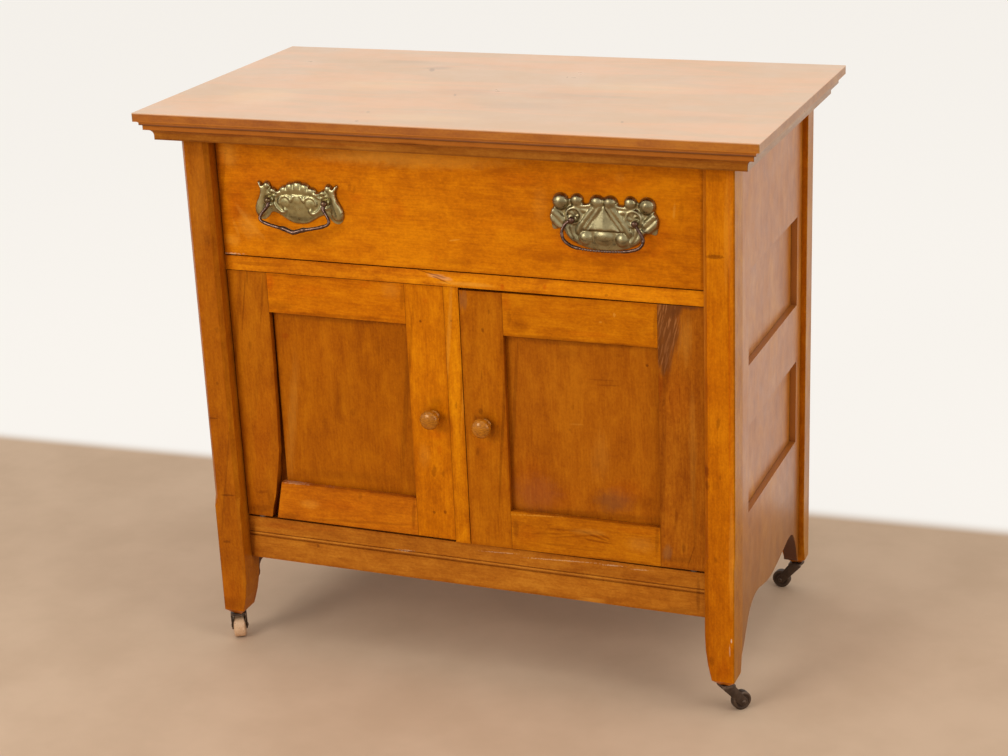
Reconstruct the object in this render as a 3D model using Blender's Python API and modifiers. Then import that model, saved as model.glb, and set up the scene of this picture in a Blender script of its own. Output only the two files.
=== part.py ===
"""A washstand with one drawer over two panelled doors, on four castors.

Metres, +Z up. The front faces -Y, +X is to the right of someone facing it, and the origin is on the
floor under the middle of the top.
"""

import math

import bmesh
import bpy
from mathutils import Matrix, Vector

# Overall sizes
TOP_WIDTH = 0.762
TOP_DEPTH = 0.419
HEIGHT = 0.713
SIDE_OVERHANG = 0.0385
FRONT_OVERHANG = 0.0385
BACK_OVERHANG = 0.003

# Clearances
GAP = 0.0003
OVERRUN = 0.004
WELD = 0.00001
DOOR_EDGE_CLEARANCE = 0.0012
DOOR_TOP_CLEARANCE = 0.0007
DOOR_BOTTOM_CLEARANCE = 0.003
MEETING_CLEARANCE = 0.001
DRAWER_SIDE_CLEARANCE = 0.001
DRAWER_FRONT_CLEARANCE = 0.0015

# Top board and the moulded frame under it
TOP_THICKNESS = 0.0155
TOP_ROUNDING = 0.005
MOULDING_FILLET = 0.006
MOULDING_COVE = 0.008
MOULDING_FOOT = 0.0055
MOULDING_REACH = 0.0305
MOULDING_QUIRK = 0.0012
MOULDING_INWARD = 0.060
COVE_STEPS = 4
TOP_BACK_RAIL_DEPTH = 0.045

# Corner posts
POST_WIDTH = 0.036
FRONT_POST_DEPTH = 0.038
BACK_POST_DEPTH = 0.029
POST_CHAMFER = 0.0052
POST_ARRIS = 0.0007
CHAMFER_STOP_HEIGHT = 0.195
CHAMFER_STOP_RUN = 0.014
FOOT_HEIGHT = 0.040
FOOT_BEVEL = 0.008
FOOT_TAPER_START = 0.108
FOOT_TAPER = 0.008
TAPER_STEPS = 3

# Panelled sides
SIDE_SETBACK = 0.007
SIDE_THICKNESS = 0.018
SIDE_FRONT_STILE = 0.052
SIDE_BACK_STILE = 0.0225
SIDE_TOP_RAIL = 0.1454
SIDE_MIDDLE_RAIL = 0.0755
SIDE_BOTTOM_RAIL = 0.1223
UPPER_PANEL_SHARE = 0.5106
PANEL_RECESS = 0.0075
PANEL_THICKNESS = 0.006
GROOVE_DEPTH = 0.007
ARCH_LOW = 0.050
ARCH_RISE = 0.058

# The lower edge of a side: along its length from the front post, and up the rise of its arch
ARCH_SHARES = (
    (0.185, 0.81), (0.245, 0.97), (0.32, 0.99), (0.40, 0.90), (0.50, 0.81),
    (0.62, 0.84), (0.74, 0.93), (0.83, 0.99), (0.885, 0.93), (0.925, 0.74),
)
BACK_FOOT_SHARES = ((0.955, 0.48), (0.975, 0.22), (0.985, 0.05))
RIGHT_FOOT_SHARES = ((0.06, 0.07), (0.10, 0.24), (0.135, 0.5))
LEFT_FOOT_SHARES = ((0.055, 0.45), (0.062, 0.70), (0.12, 0.80))

# Rails, floor and back
RAIL_SETBACK = 0.020
DRAWER_RAIL_THICKNESS = 0.0182
DRAWER_RAIL_DEPTH = 0.055
BOTTOM_RAIL_HEIGHT = 0.057
BOTTOM_RAIL_TOP = 0.177
BOTTOM_RAIL_THICKNESS = 0.020
BOTTOM_RAIL_STEP = 0.0012
BEAD_RADIUS = 0.0020
BEAD_GROOVE = 0.0016
BEAD_DROP = 0.0235
BEAD_STEPS = 5
FLOOR_THICKNESS = 0.015
FLOOR_DROP = 0.0015
BACK_THICKNESS = 0.008
BACK_INSET = 0.007
BACK_BOTTOM = 0.120
BACK_BOARDS = 6
BACK_GROOVE = 0.0022
RUNNER_WIDTH = 0.026
RUNNER_GUIDE_HEIGHT = 0.034
STOP_LENGTH = 0.120
STOP_THICKNESS = 0.012
STOP_CLEARANCE = 0.0005

# Drawer
DRAWER_FRONT_HEIGHT = 0.1482
DRAWER_FRONT_THICKNESS = 0.020
DRAWER_SIDE_THICKNESS = 0.012
DRAWER_SIDE_DROP = 0.0071
DRAWER_BACK_DROP = 0.0064
DRAWER_BACK_CLEARANCE = 0.0325
DRAWER_BOTTOM_THICKNESS = 0.007
DRAWER_BOTTOM_RAISE = 0.008
DRAWER_GROOVE_DEPTH = 0.005
DOVETAILS = 4
DOVETAIL_LENGTH = 0.013
DOVETAIL_SPLAY = 0.003
DOVETAIL_ROOT_SHARE = 0.46

# Doors
DOOR_THICKNESS = 0.020
LEFT_HINGE_STILE = 0.054
RIGHT_HINGE_STILE = 0.0577
LEFT_LOCK_STILE = 0.0502
RIGHT_LOCK_STILE = 0.054
LEFT_TOP_RAIL = 0.0505
RIGHT_TOP_RAIL = 0.0525
DOOR_BOTTOM_RAIL = 0.050
RAIL_TONGUE = 0.0065
TONGUE_HAUNCH = 0.003
MEETING_STRIP_WIDTH = 0.0192
MEETING_OFFSET = 0.0027
RIGHT_DOOR_SAG = 0.0025
WORN_EDGE_DEPTH = 0.0215
SLANT_TOP = 0.0022
SLANT_RUN = 0.010
LEFT_PANEL_SHRINKAGE = 0.0021

# The broken inner edge of the left door's outer upright: up its height, and in from its edge
WORN_EDGE_SHARES = (
    (0.60, 0.02), (0.42, 0.05), (0.28, 0.13), (0.21, 0.27), (0.16, 0.41), (0.12, 0.50), (0.09, 0.59),
    (0.05, 0.77), (0.02, 0.87), (0.0, 0.93),
)

# Pivot pins of the doors
PIN_RADIUS = 0.0025
PIN_EDGE_DISTANCE = 0.018
PIN_FACE_DISTANCE = 0.006
PIN_IN_DOOR = 0.015
PIN_IN_RAIL = 0.009
PIN_COLLAR_RADIUS = 0.0055

# Wooden knobs
KNOB_RADIUS = 0.01225
KNOB_NECK_RADIUS = 0.0055
KNOB_FOOT_RADIUS = 0.0075
KNOB_LENGTH = 0.022
KNOB_DOWEL_RADIUS = 0.004
KNOB_DOWEL_LENGTH = 0.012
LEFT_KNOB_INSET = 0.0202
LEFT_KNOB_DROP = 0.1656
RIGHT_KNOB_INSET = 0.0263
RIGHT_KNOB_DROP = 0.1671

# A knob's side view: out along its length, and across its radius
KNOB_HEAD_SHARES = (
    (0.40, 0.50), (0.46, 0.80), (0.56, 0.97), (0.68, 1.0), (0.80, 0.93), (0.91, 0.72), (0.98, 0.40),
)

# Drawer pulls
PULL_BORE = 0.075
PULL_DROP = 0.0742
LEFT_PULL_INSET = 0.1075
RIGHT_PULL_INSET = 0.1175
RIGHT_PLATE_SHIFT = -0.0027
PULL_PLATE_THICKNESS = 0.0022
PULL_POST_RADIUS = 0.0042
PULL_POST_LENGTH = 0.0125
PULL_AXIS_DISTANCE = 0.009
PULL_HOLE_RADIUS = 0.0019
LEFT_PLATE_REACH = 0.0585
LEFT_PLATE_RISE = 0.0260
LEFT_PLATE_FALL = 0.0255
RIGHT_PLATE_REACH = 0.0625
RIGHT_PLATE_RISE = 0.0285
RIGHT_PLATE_FALL = 0.0365
BAIL_RADIUS = 0.0016
BAIL_REACH = 0.048
LEFT_BAIL_FALL = 0.0336
RIGHT_BAIL_FALL = 0.0348
LEFT_BAIL_TILT = math.radians(20)
RIGHT_BAIL_TILT = math.radians(12)
BAIL_SMOOTHING = 4

# Half outlines of the plates from the middle of the top round to the middle of the bottom:
# across the plate's reach, and over its rise where positive or its fall where negative
LEFT_PLATE_SHARES = (
    (0.0, 1.0), (0.11, 0.97), (0.22, 0.89), (0.34, 0.72), (0.43, 0.57), (0.48, 0.50), (0.54, 0.68),
    (0.58, 0.85), (0.68, 0.92), (0.76, 0.80), (0.82, 0.92), (0.90, 0.90), (0.875, 0.68), (0.87, 0.46),
    (0.93, 0.14),
    (1.0, -0.28), (1.0, -0.66), (0.93, -0.92), (0.83, -0.94), (0.73, -0.76), (0.66, -0.50), (0.56, -0.54),
    (0.43, -0.71), (0.24, -0.93), (0.0, -1.0),
)
RIGHT_PLATE_SHARES = (
    (0.0, 0.93), (0.06, 0.99), (0.14, 1.0), (0.22, 0.92), (0.26, 0.72), (0.34, 0.60), (0.41, 0.66),
    (0.43, 0.88), (0.52, 0.98), (0.61, 0.88), (0.66, 0.74), (0.70, 0.90), (0.82, 1.0), (0.94, 0.88),
    (0.98, 0.64), (0.93, 0.42), (0.99, 0.24), (1.0, 0.0), (0.98, -0.30), (0.81, -0.32), (0.76, -0.44),
    (0.72, -0.56), (0.60, -0.72), (0.42, -0.87), (0.22, -0.97), (0.0, -1.0),
)

# Half paths of the bails below their pins: across the reach, down the fall, and the wire's own thickness
LEFT_BAIL_SHARES = (
    (0.955, 0.06, 1.0), (1.0, 0.24, 1.0), (1.0, 0.42, 1.0), (0.945, 0.57, 1.0), (0.82, 0.66, 1.0),
    (0.60, 0.75, 1.05), (0.40, 0.815, 1.1), (0.20, 0.86, 1.25), (0.09, 0.945, 1.4), (0.0, 1.0, 1.5),
)
RIGHT_BAIL_SHARES = (
    (0.955, 0.08, 0.85), (1.0, 0.30, 0.85), (0.99, 0.52, 0.85), (0.92, 0.70, 0.9), (0.76, 0.84, 1.0),
    (0.56, 0.925, 1.35), (0.36, 0.97, 1.35), (0.18, 0.992, 1.35), (0.0, 1.0, 1.35),
)

# Castors
STEM_RADIUS = 0.004
STEM_LENGTH = 0.030
CROWN_THICKNESS = 0.0025
CROWN_FRONT = 0.009
CROWN_BACK = 0.008
EAR_THICKNESS = 0.0018
EAR_CLEARANCE = 0.0006
EAR_TIP_RADIUS = 0.0055
AXLE_RADIUS = 0.002
AXLE_HEAD = 0.0012
TREAD_ROUNDING = 0.002
TREAD_STEPS = 2
EAR_STEPS = 5

WIDE_WHEEL_RADIUS = 0.0155
WIDE_WHEEL_WIDTH = 0.0155
WIDE_WHEEL_TRAIL = 0.008
WIDE_WHEEL_STEM_SHIFT = -0.003
SMALL_WHEEL_RADIUS = 0.012
SMALL_WHEEL_WIDTH = 0.011
SMALL_WHEEL_TRAIL = 0.020
WIDE_WHEEL = (WIDE_WHEEL_RADIUS, WIDE_WHEEL_WIDTH, WIDE_WHEEL_TRAIL, WIDE_WHEEL_STEM_SHIFT)
SMALL_WHEEL = (SMALL_WHEEL_RADIUS, SMALL_WHEEL_WIDTH, SMALL_WHEEL_TRAIL, 0)

# Each castor: side, whether it is at the front, heading of its trail, and its wheel
CASTORS = {
    "front_left": (-1, True, math.radians(118), WIDE_WHEEL),
    "front_right": (1, True, math.radians(45), SMALL_WHEEL),
    "back_left": (-1, False, math.radians(-20), SMALL_WHEEL),
    "back_right": (1, False, math.radians(174), SMALL_WHEEL),
}

# Colour, roughness and metallic value of each finish
FINISHES = {
    "top_wood": ((0.60, 0.40, 0.26), 0.35, 0.0),
    "frame_wood": ((0.48, 0.19, 0.03), 0.40, 0.0),
    "drawer_wood": ((0.56, 0.23, 0.02), 0.38, 0.0),
    "panel_wood": ((0.42, 0.14, 0.02), 0.42, 0.0),
    "side_wood": ((0.46, 0.24, 0.13), 0.35, 0.0),
    "inside_wood": ((0.45, 0.30, 0.17), 0.70, 0.0),
    "brass": ((0.32, 0.26, 0.12), 0.35, 1.0),
    "bronze": ((0.16, 0.09, 0.07), 0.40, 1.0),
    "knob_wood": ((0.34, 0.17, 0.06), 0.30, 0.0),
    "iron": ((0.06, 0.045, 0.035), 0.60, 0.9),
    "wheel_wood": ((0.62, 0.40, 0.23), 0.45, 0.0),
}

# Rotations that stand a flat outline up facing the front, or facing the side
FACING_FRONT = (math.pi / 2, 0, 0)
FACING_SIDE = (math.pi / 2, 0, math.pi / 2)
LYING_FLAT = (0, 0, 0)

# Planes and heights that the pieces share
TOP_FRONT = -TOP_DEPTH / 2
TOP_BACK = TOP_DEPTH / 2
BODY_FRONT = TOP_FRONT + FRONT_OVERHANG
BODY_BACK = TOP_BACK - BACK_OVERHANG
BODY_SIDE = TOP_WIDTH / 2 - SIDE_OVERHANG
MOULDING_HEIGHT = MOULDING_FILLET + MOULDING_COVE + MOULDING_FOOT
MOULDING_TOP = HEIGHT - TOP_THICKNESS - GAP
MOULDING_BOTTOM = MOULDING_TOP - MOULDING_HEIGHT
POST_TOP = MOULDING_BOTTOM - GAP
POST_INNER = BODY_SIDE - POST_WIDTH
SIDE_OUTER = BODY_SIDE - SIDE_SETBACK
SIDE_INNER = SIDE_OUTER - SIDE_THICKNESS
SIDE_FRONT = BODY_FRONT + FRONT_POST_DEPTH + GAP
SIDE_BACK = BODY_BACK - BACK_POST_DEPTH - GAP
RAIL_FRONT = BODY_FRONT + RAIL_SETBACK
DRAWER_HIGH = MOULDING_BOTTOM - DRAWER_FRONT_CLEARANCE
DRAWER_LOW = DRAWER_HIGH - DRAWER_FRONT_HEIGHT
DRAWER_RAIL_TOP = DRAWER_LOW - DRAWER_FRONT_CLEARANCE
DRAWER_RAIL_BOTTOM = DRAWER_RAIL_TOP - DRAWER_RAIL_THICKNESS
BACK_FRONT = BODY_BACK - BACK_INSET - BACK_THICKNESS
DOOR_LOW = BOTTOM_RAIL_TOP + DOOR_BOTTOM_CLEARANCE
DOOR_HIGH = DRAWER_RAIL_BOTTOM - DOOR_TOP_CLEARANCE
DOOR_OUTER = POST_INNER - DOOR_EDGE_CLEARANCE
DOOR_BACK = RAIL_FRONT + DOOR_THICKNESS
STRIP_RIGHT = MEETING_OFFSET
STRIP_LEFT = STRIP_RIGHT - MEETING_STRIP_WIDTH
LEFT_DOOR_RIGHT = STRIP_LEFT - GAP
RIGHT_DOOR_LEFT = STRIP_RIGHT + MEETING_CLEARANCE
PIVOT_X = DOOR_OUTER - PIN_EDGE_DISTANCE
PIVOT_Y = RAIL_FRONT + PIN_FACE_DISTANCE
DRAWER_OUTER = POST_INNER - DRAWER_SIDE_CLEARANCE
DRAWER_SIDE_LOW = DRAWER_RAIL_TOP + 2 * GAP
DRAWER_SIDE_HIGH = DRAWER_HIGH - DRAWER_SIDE_DROP
DRAWER_FRONT_BACK = RAIL_FRONT + DRAWER_FRONT_THICKNESS
DRAWER_INNER = DRAWER_OUTER - GAP - DRAWER_SIDE_THICKNESS
DRAWER_END = BACK_FRONT - DRAWER_BACK_CLEARANCE
PULL_HEIGHT = DRAWER_HIGH - PULL_DROP
LEFT_PULL_X = LEFT_PULL_INSET - DRAWER_OUTER
RIGHT_PULL_X = DRAWER_OUTER - RIGHT_PULL_INSET
LEFT_KNOB = (LEFT_DOOR_RIGHT - LEFT_KNOB_INSET, DOOR_HIGH - LEFT_KNOB_DROP)
RIGHT_KNOB = (RIGHT_DOOR_LEFT + RIGHT_KNOB_INSET, DOOR_HIGH - RIGHT_KNOB_DROP)
PULL_AXIS = RAIL_FRONT - PULL_AXIS_DISTANCE


def clear_scene():
    for obj in list(bpy.data.objects):
        bpy.data.objects.remove(obj, do_unlink=True)


def new_collection(name):
    made = bpy.data.collections.new(name)
    bpy.context.scene.collection.children.link(made)
    return made


clear_scene()
WASHSTAND = new_collection("washstand")
CUTTERS = new_collection("cutters")


def add_material(obj, finish):
    """Gives the object a material of its own in the named finish."""
    colour, roughness, metallic = FINISHES[finish]
    material = bpy.data.materials.new(f"{obj.name}_{finish}")
    material.use_nodes = True
    shader = material.node_tree.nodes["Principled BSDF"]
    shader.inputs["Base Color"].default_value = (*colour, 1)
    shader.inputs["Roughness"].default_value = roughness
    shader.inputs["Metallic"].default_value = metallic
    obj.data.materials.clear()
    obj.data.materials.append(material)


def add_object(name, data, finish):
    """Links the data as a piece of the washstand, or as a cutter where it has no finish."""
    obj = bpy.data.objects.new(name, data)
    if finish:
        WASHSTAND.objects.link(obj)
        add_material(obj, finish)
    else:
        CUTTERS.objects.link(obj)
        obj.hide_render = True
        obj.display_type = "WIRE"
    return obj


def mesh_object(name, bm, finish):
    mesh = bpy.data.meshes.new(name)
    bm.to_mesh(mesh)
    bm.free()
    return add_object(name, mesh, finish)


def block(name, low, high, finish=None):
    """A box between two corners, with its origin at its middle."""
    low, high = Vector(low), Vector(high)
    bm = bmesh.new()
    bmesh.ops.create_cube(bm, size=1)
    bmesh.ops.scale(bm, vec=high - low, verts=bm.verts)
    obj = mesh_object(name, bm, finish)
    obj.location = (low + high) / 2
    return obj


def rod(name, radius, start, end, finish=None, segments=16):
    """A round rod between two points."""
    start, end = Vector(start), Vector(end)
    along = end - start
    bm = bmesh.new()
    bmesh.ops.create_cone(
        bm, cap_ends=True, segments=segments, radius1=radius, radius2=radius, depth=along.length
    )
    obj = mesh_object(name, bm, finish)
    obj.location = (start + end) / 2
    obj.rotation_euler = along.to_track_quat("Z", "Y").to_euler()
    obj.data.set_sharp_from_angle(angle=math.radians(40))
    return obj


def turned(name, profile, finish, steps=24):
    """A shape turned about its Z axis from (radius, height) points that run from its top to its bottom."""
    bm = bmesh.new()
    points = [bm.verts.new((radius, 0, height)) for radius, height in profile]
    for first, second in zip(points, points[1:]):
        bm.edges.new((first, second))
    obj = mesh_object(name, bm, finish)
    screw = obj.modifiers.new("Turning", "SCREW")
    screw.steps = steps
    screw.render_steps = steps
    screw.use_merge_vertices = True
    screw.merge_threshold = WELD
    screw.use_smooth_shade = True
    return obj


def flat_outline(name, outlines, thickness, middle, facing, finish=None):
    """A sheet cut to closed outlines of (x, y) points, or (x, y, "round") on a smooth curve."""
    curve = bpy.data.curves.new(name, "CURVE")
    curve.dimensions = "2D"
    curve.fill_mode = "BOTH"
    curve.extrude = thickness / 2
    curve.resolution_u = 3
    for outline in outlines:
        spline = curve.splines.new("BEZIER")
        spline.bezier_points.add(len(outline) - 1)
        spline.use_cyclic_u = True
        for point, place in zip(spline.bezier_points, outline):
            point.co = (place[0], place[1], 0)
            handle = "AUTO" if len(place) > 2 else "VECTOR"
            point.handle_left_type = handle
            point.handle_right_type = handle
    guide = bpy.data.objects.new(name, curve)
    CUTTERS.objects.link(guide)
    guide.location = middle
    guide.rotation_euler = facing
    return solid_of_curve(guide, finish)


def solid_of_curve(guide, finish):
    """The curve's shape as a welded mesh object in its place."""
    name = guide.name
    bpy.context.view_layer.update()
    graph = bpy.context.evaluated_depsgraph_get()
    mesh = bpy.data.meshes.new_from_object(guide.evaluated_get(graph))
    place = guide.matrix_world.copy()
    bpy.data.objects.remove(guide, do_unlink=True)
    bm = bmesh.new()
    bm.from_mesh(mesh)
    bmesh.ops.remove_doubles(bm, verts=bm.verts, dist=WELD / 3)
    bmesh.ops.dissolve_limit(
        bm, angle_limit=math.radians(0.5), verts=bm.verts, edges=bm.edges, delimit={"NORMAL"}
    )
    bmesh.ops.recalc_face_normals(bm, faces=bm.faces)
    bm.to_mesh(mesh)
    bm.free()
    obj = add_object(name, mesh, finish)
    obj.matrix_world = place
    return obj


def tube(name, points, radius, finish):
    """A wire of the given radius through (place, thickness share) points."""
    curve = bpy.data.curves.new(name, "CURVE")
    curve.dimensions = "3D"
    curve.bevel_depth = radius
    curve.bevel_resolution = 2
    curve.use_fill_caps = True
    spline = curve.splines.new("POLY")
    spline.points.add(len(points) - 1)
    for point, (place, thickness_share) in zip(spline.points, points):
        point.co = (*place, 1)
        point.radius = thickness_share
    return add_object(name, curve, finish)


def combine(obj, other, operation):
    change = obj.modifiers.new(operation.title(), "BOOLEAN")
    change.operation = operation
    change.solver = "EXACT"
    change.object = other


def cut(obj, *cutters):
    for cutter in cutters:
        combine(obj, cutter, "DIFFERENCE")


def join(obj, *others):
    for other in others:
        combine(obj, other, "UNION")


def bake(obj):
    """Makes the modified shape the object's own mesh, and drops the helpers that shaped it."""
    bpy.context.view_layer.update()
    graph = bpy.context.evaluated_depsgraph_get()
    mesh = bpy.data.meshes.new_from_object(obj.evaluated_get(graph))
    helpers = [change.object for change in obj.modifiers if change.type == "BOOLEAN"]
    obj.modifiers.clear()
    obj.data = mesh
    for helper in helpers:
        bpy.data.objects.remove(helper, do_unlink=True)


def smooth(obj, degrees=35):
    obj.data.shade_smooth()
    obj.data.set_sharp_from_angle(angle=math.radians(degrees))


def pivot(name, place, parent=None):
    """An empty on a joint's axis, which carries the pieces that move with it."""
    empty = bpy.data.objects.new(name, None)
    WASHSTAND.objects.link(empty)
    empty.location = place
    if parent:
        carry(parent, empty)
    return empty


def carry(empty, *pieces):
    bpy.context.view_layer.update()
    for piece in pieces:
        piece.parent = empty
        piece.matrix_parent_inverse = empty.matrix_world.inverted()


def side_name(side):
    return "left" if side < 0 else "right"


def loft(name, rings, finish):
    """A closed solid through rings that all have the same number of points."""
    bm = bmesh.new()
    loops = [[bm.verts.new(point) for point in ring] for ring in rings]
    for lower, upper in zip(loops, loops[1:]):
        for i in range(len(lower)):
            j = (i + 1) % len(lower)
            bm.faces.new((lower[i], lower[j], upper[j], upper[i]))
    bm.faces.new(loops[0])
    bm.faces.new(loops[-1])
    bmesh.ops.recalc_face_normals(bm, faces=bm.faces)
    return mesh_object(name, bm, finish)


def top_board():
    """The top, with the lower edge of its front and ends rounded."""
    board = block("top_board", (-TOP_WIDTH / 2, TOP_FRONT, HEIGHT - TOP_THICKNESS),
                  (TOP_WIDTH / 2, TOP_BACK, HEIGHT), "top_wood")
    bm = bmesh.new()
    bm.from_mesh(board.data)
    lower = [edge for edge in bm.edges if all(vert.co.z < 0 for vert in edge.verts)]
    rounded = [edge for edge in lower if not all(vert.co.y > 0 for vert in edge.verts)]
    bmesh.ops.bevel(bm, geom=rounded, offset=TOP_ROUNDING, segments=3, affect="EDGES", clamp_overlap=True)
    bm.to_mesh(board.data)
    bm.free()


def moulding_section():
    """Points of the moulding as (projection beyond the body, height above its underside)."""
    cove_outer = MOULDING_REACH - MOULDING_QUIRK
    foot = cove_outer - MOULDING_COVE
    points = [(-MOULDING_INWARD, 0), (foot, 0)]
    for step in range(COVE_STEPS + 1):
        turn = math.pi / 2 * step / COVE_STEPS
        points.append((
            cove_outer - MOULDING_COVE * math.cos(turn),
            MOULDING_FOOT + MOULDING_COVE * math.sin(turn),
        ))
    fillet_low = MOULDING_FOOT + MOULDING_COVE
    points += [(MOULDING_REACH, fillet_low), (MOULDING_REACH, MOULDING_HEIGHT)]
    points.append((-MOULDING_INWARD, MOULDING_HEIGHT))
    return points


def mouldings():
    """A frame of boards between the posts and the top, moulded on three edges and mitred in front."""
    section = moulding_section()
    front = [
        [(side * (BODY_SIDE + reach) - side * GAP, BODY_FRONT - reach, MOULDING_BOTTOM + rise)
         for reach, rise in section]
        for side in (-1, 1)
    ]
    loft("moulding_front", front, "frame_wood")
    for side in (-1, 1):
        mitre = [(side * (BODY_SIDE + reach), BODY_FRONT - reach + GAP, MOULDING_BOTTOM + rise)
                 for reach, rise in section]
        end = [(x, BODY_BACK, z) for x, y, z in mitre]
        loft(f"moulding_{side_name(side)}", [mitre, end], "side_wood")
    reach = BODY_SIDE - MOULDING_INWARD - GAP
    block("top_back_rail", (-reach, BODY_BACK - TOP_BACK_RAIL_DEPTH, MOULDING_BOTTOM),
          (reach, BODY_BACK, MOULDING_TOP), "inside_wood")


def post_ring(side, height, across, along, corner_chamfers):
    """One section of a post, from ranges across X inward of the side and along Y."""
    (outer, inner), (near, far) = across, along
    outer_near, inner_near, inner_far, outer_far = corner_chamfers
    ring = [
        (outer, near + outer_near), (outer + outer_near, near),
        (inner - inner_near, near), (inner, near + inner_near),
        (inner, far - inner_far), (inner - inner_far, far),
        (outer + outer_far, far), (outer, far - outer_far),
    ]
    return [(side * (BODY_SIDE - x), y, height) for x, y in ring]


def post(side, front):
    """A corner post with chamfered front edges and a tapered, bevelled foot."""
    near = BODY_FRONT if front else BODY_BACK - BACK_POST_DEPTH
    far = BODY_FRONT + FRONT_POST_DEPTH if front else BODY_BACK
    plain = [POST_ARRIS] * 4
    chamfered = [POST_CHAMFER, POST_CHAMFER, POST_ARRIS, POST_ARRIS] if front else plain

    def section(height, taper, bevel, chamfers):
        across = (bevel, POST_WIDTH - taper - bevel)
        along = (near + bevel, far - taper - bevel) if front else (near + taper + bevel, far - bevel)
        return post_ring(side, height, across, along, chamfers)

    bevel_top = FOOT_HEIGHT + FOOT_BEVEL
    rings = [section(FOOT_HEIGHT, FOOT_TAPER, FOOT_BEVEL, plain)]
    for step in range(TAPER_STEPS + 1):
        climb = step / TAPER_STEPS
        taper = FOOT_TAPER * (1 - climb) ** 2
        rings.append(section(bevel_top + (FOOT_TAPER_START - bevel_top) * climb, taper, 0, plain))
    rings.append(section(CHAMFER_STOP_HEIGHT, 0, 0, plain))
    rings.append(section(CHAMFER_STOP_HEIGHT + CHAMFER_STOP_RUN, 0, 0, chamfered))
    rings.append(section(POST_TOP, 0, 0, chamfered))
    name = f"{'front' if front else 'back'}_{side_name(side)}"
    made = loft(f"post_{name}", rings, "frame_wood")
    x, y = stem_place(name)
    hole_top = FOOT_HEIGHT + STEM_LENGTH + GAP
    cut(made, rod(f"stem_hole_{name}", STEM_RADIUS + GAP, (x, y, FOOT_HEIGHT - OVERRUN), (x, y, hole_top)))


def foot_centre(side, front):
    x = side * (BODY_SIDE - (POST_WIDTH - FOOT_TAPER) / 2)
    if front:
        return x, BODY_FRONT + (FRONT_POST_DEPTH - FOOT_TAPER) / 2
    return x, BODY_BACK - (BACK_POST_DEPTH - FOOT_TAPER) / 2


def stem_place(name):
    side, front, _, wheel = CASTORS[name]
    x, y = foot_centre(side, front)
    return x + wheel[-1], y


def side_panel_places():
    """Lower and upper edge of each side panel's opening, by name."""
    upper_high = POST_TOP - SIDE_TOP_RAIL
    lower_low = ARCH_LOW + ARCH_RISE + SIDE_BOTTOM_RAIL
    upper_low = upper_high - (upper_high - lower_low - SIDE_MIDDLE_RAIL) * UPPER_PANEL_SHARE
    return {"upper": (upper_low, upper_high), "lower": (lower_low, upper_low - SIDE_MIDDLE_RAIL)}


def side_assembly(side):
    """A side frame with an arched lower edge, grooved for its two panels."""
    name = side_name(side)
    length = SIDE_BACK - SIDE_FRONT
    foot_shares = LEFT_FOOT_SHARES if side < 0 else RIGHT_FOOT_SHARES
    arch = [(SIDE_FRONT, ARCH_LOW + ARCH_RISE * foot_shares[0][1])]
    arch += [
        (SIDE_FRONT + length * along, ARCH_LOW + ARCH_RISE * up, "round")
        for along, up in foot_shares + ARCH_SHARES + BACK_FOOT_SHARES
    ]
    outline = arch + [(SIDE_BACK, ARCH_LOW), (SIDE_BACK, POST_TOP), (SIDE_FRONT, POST_TOP)]
    middle = side * (SIDE_OUTER + SIDE_INNER) / 2
    frame = flat_outline(f"side_frame_{name}", [outline], SIDE_THICKNESS, (middle, 0, 0), FACING_SIDE,
                         "side_wood")
    near, far = SIDE_FRONT + SIDE_FRONT_STILE, SIDE_BACK - SIDE_BACK_STILE
    groove_outer = SIDE_OUTER - PANEL_RECESS
    groove_inner = groove_outer - PANEL_THICKNESS - 2 * GAP
    panel_outer, panel_inner = groove_outer - GAP, groove_inner + GAP
    tongue = GROOVE_DEPTH - GAP
    for level, (low, high) in side_panel_places().items():
        label = f"{level}_{name}"
        opening = block(f"panel_opening_{label}", *ordered(
            (side * (SIDE_INNER - OVERRUN), near, low), (side * (SIDE_OUTER + OVERRUN), far, high)))
        groove = block(f"panel_groove_{label}", *ordered(
            (side * groove_inner, near - GROOVE_DEPTH, low - GROOVE_DEPTH),
            (side * groove_outer, far + GROOVE_DEPTH, high + GROOVE_DEPTH)))
        cut(frame, opening, groove)
        block(f"side_panel_{label}", *ordered(
            (side * panel_inner, near - tongue, low - tongue),
            (side * panel_outer, far + tongue, high + tongue)), "side_wood")


def ordered(first, second):
    """The two corners with the lower value of each axis first."""
    return tuple(map(min, first, second)), tuple(map(max, first, second))


def bottom_rail_section():
    """The bottom rail's (y, z) outline, with a bead and a quirk between its two members."""
    low = BOTTOM_RAIL_TOP - BOTTOM_RAIL_HEIGHT
    bead = BOTTOM_RAIL_TOP - BEAD_DROP
    back = RAIL_FRONT + BOTTOM_RAIL_THICKNESS
    upper_face = RAIL_FRONT + BOTTOM_RAIL_STEP
    bead_centre = RAIL_FRONT + BEAD_RADIUS
    points = [(back, low), (RAIL_FRONT, low), (RAIL_FRONT, bead - BEAD_RADIUS - BEAD_GROOVE)]
    points.append((bead_centre, bead - BEAD_RADIUS - BEAD_GROOVE / 2))
    for step in range(BEAD_STEPS):
        turn = math.pi * (step / (BEAD_STEPS - 1) - 1 / 2)
        points.append((bead_centre - BEAD_RADIUS * math.cos(turn), bead + BEAD_RADIUS * math.sin(turn)))
    points += [(upper_face, bead + BEAD_RADIUS + BEAD_GROOVE / 2), (upper_face, BOTTOM_RAIL_TOP)]
    points.append((back, BOTTOM_RAIL_TOP))
    return points


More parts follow.
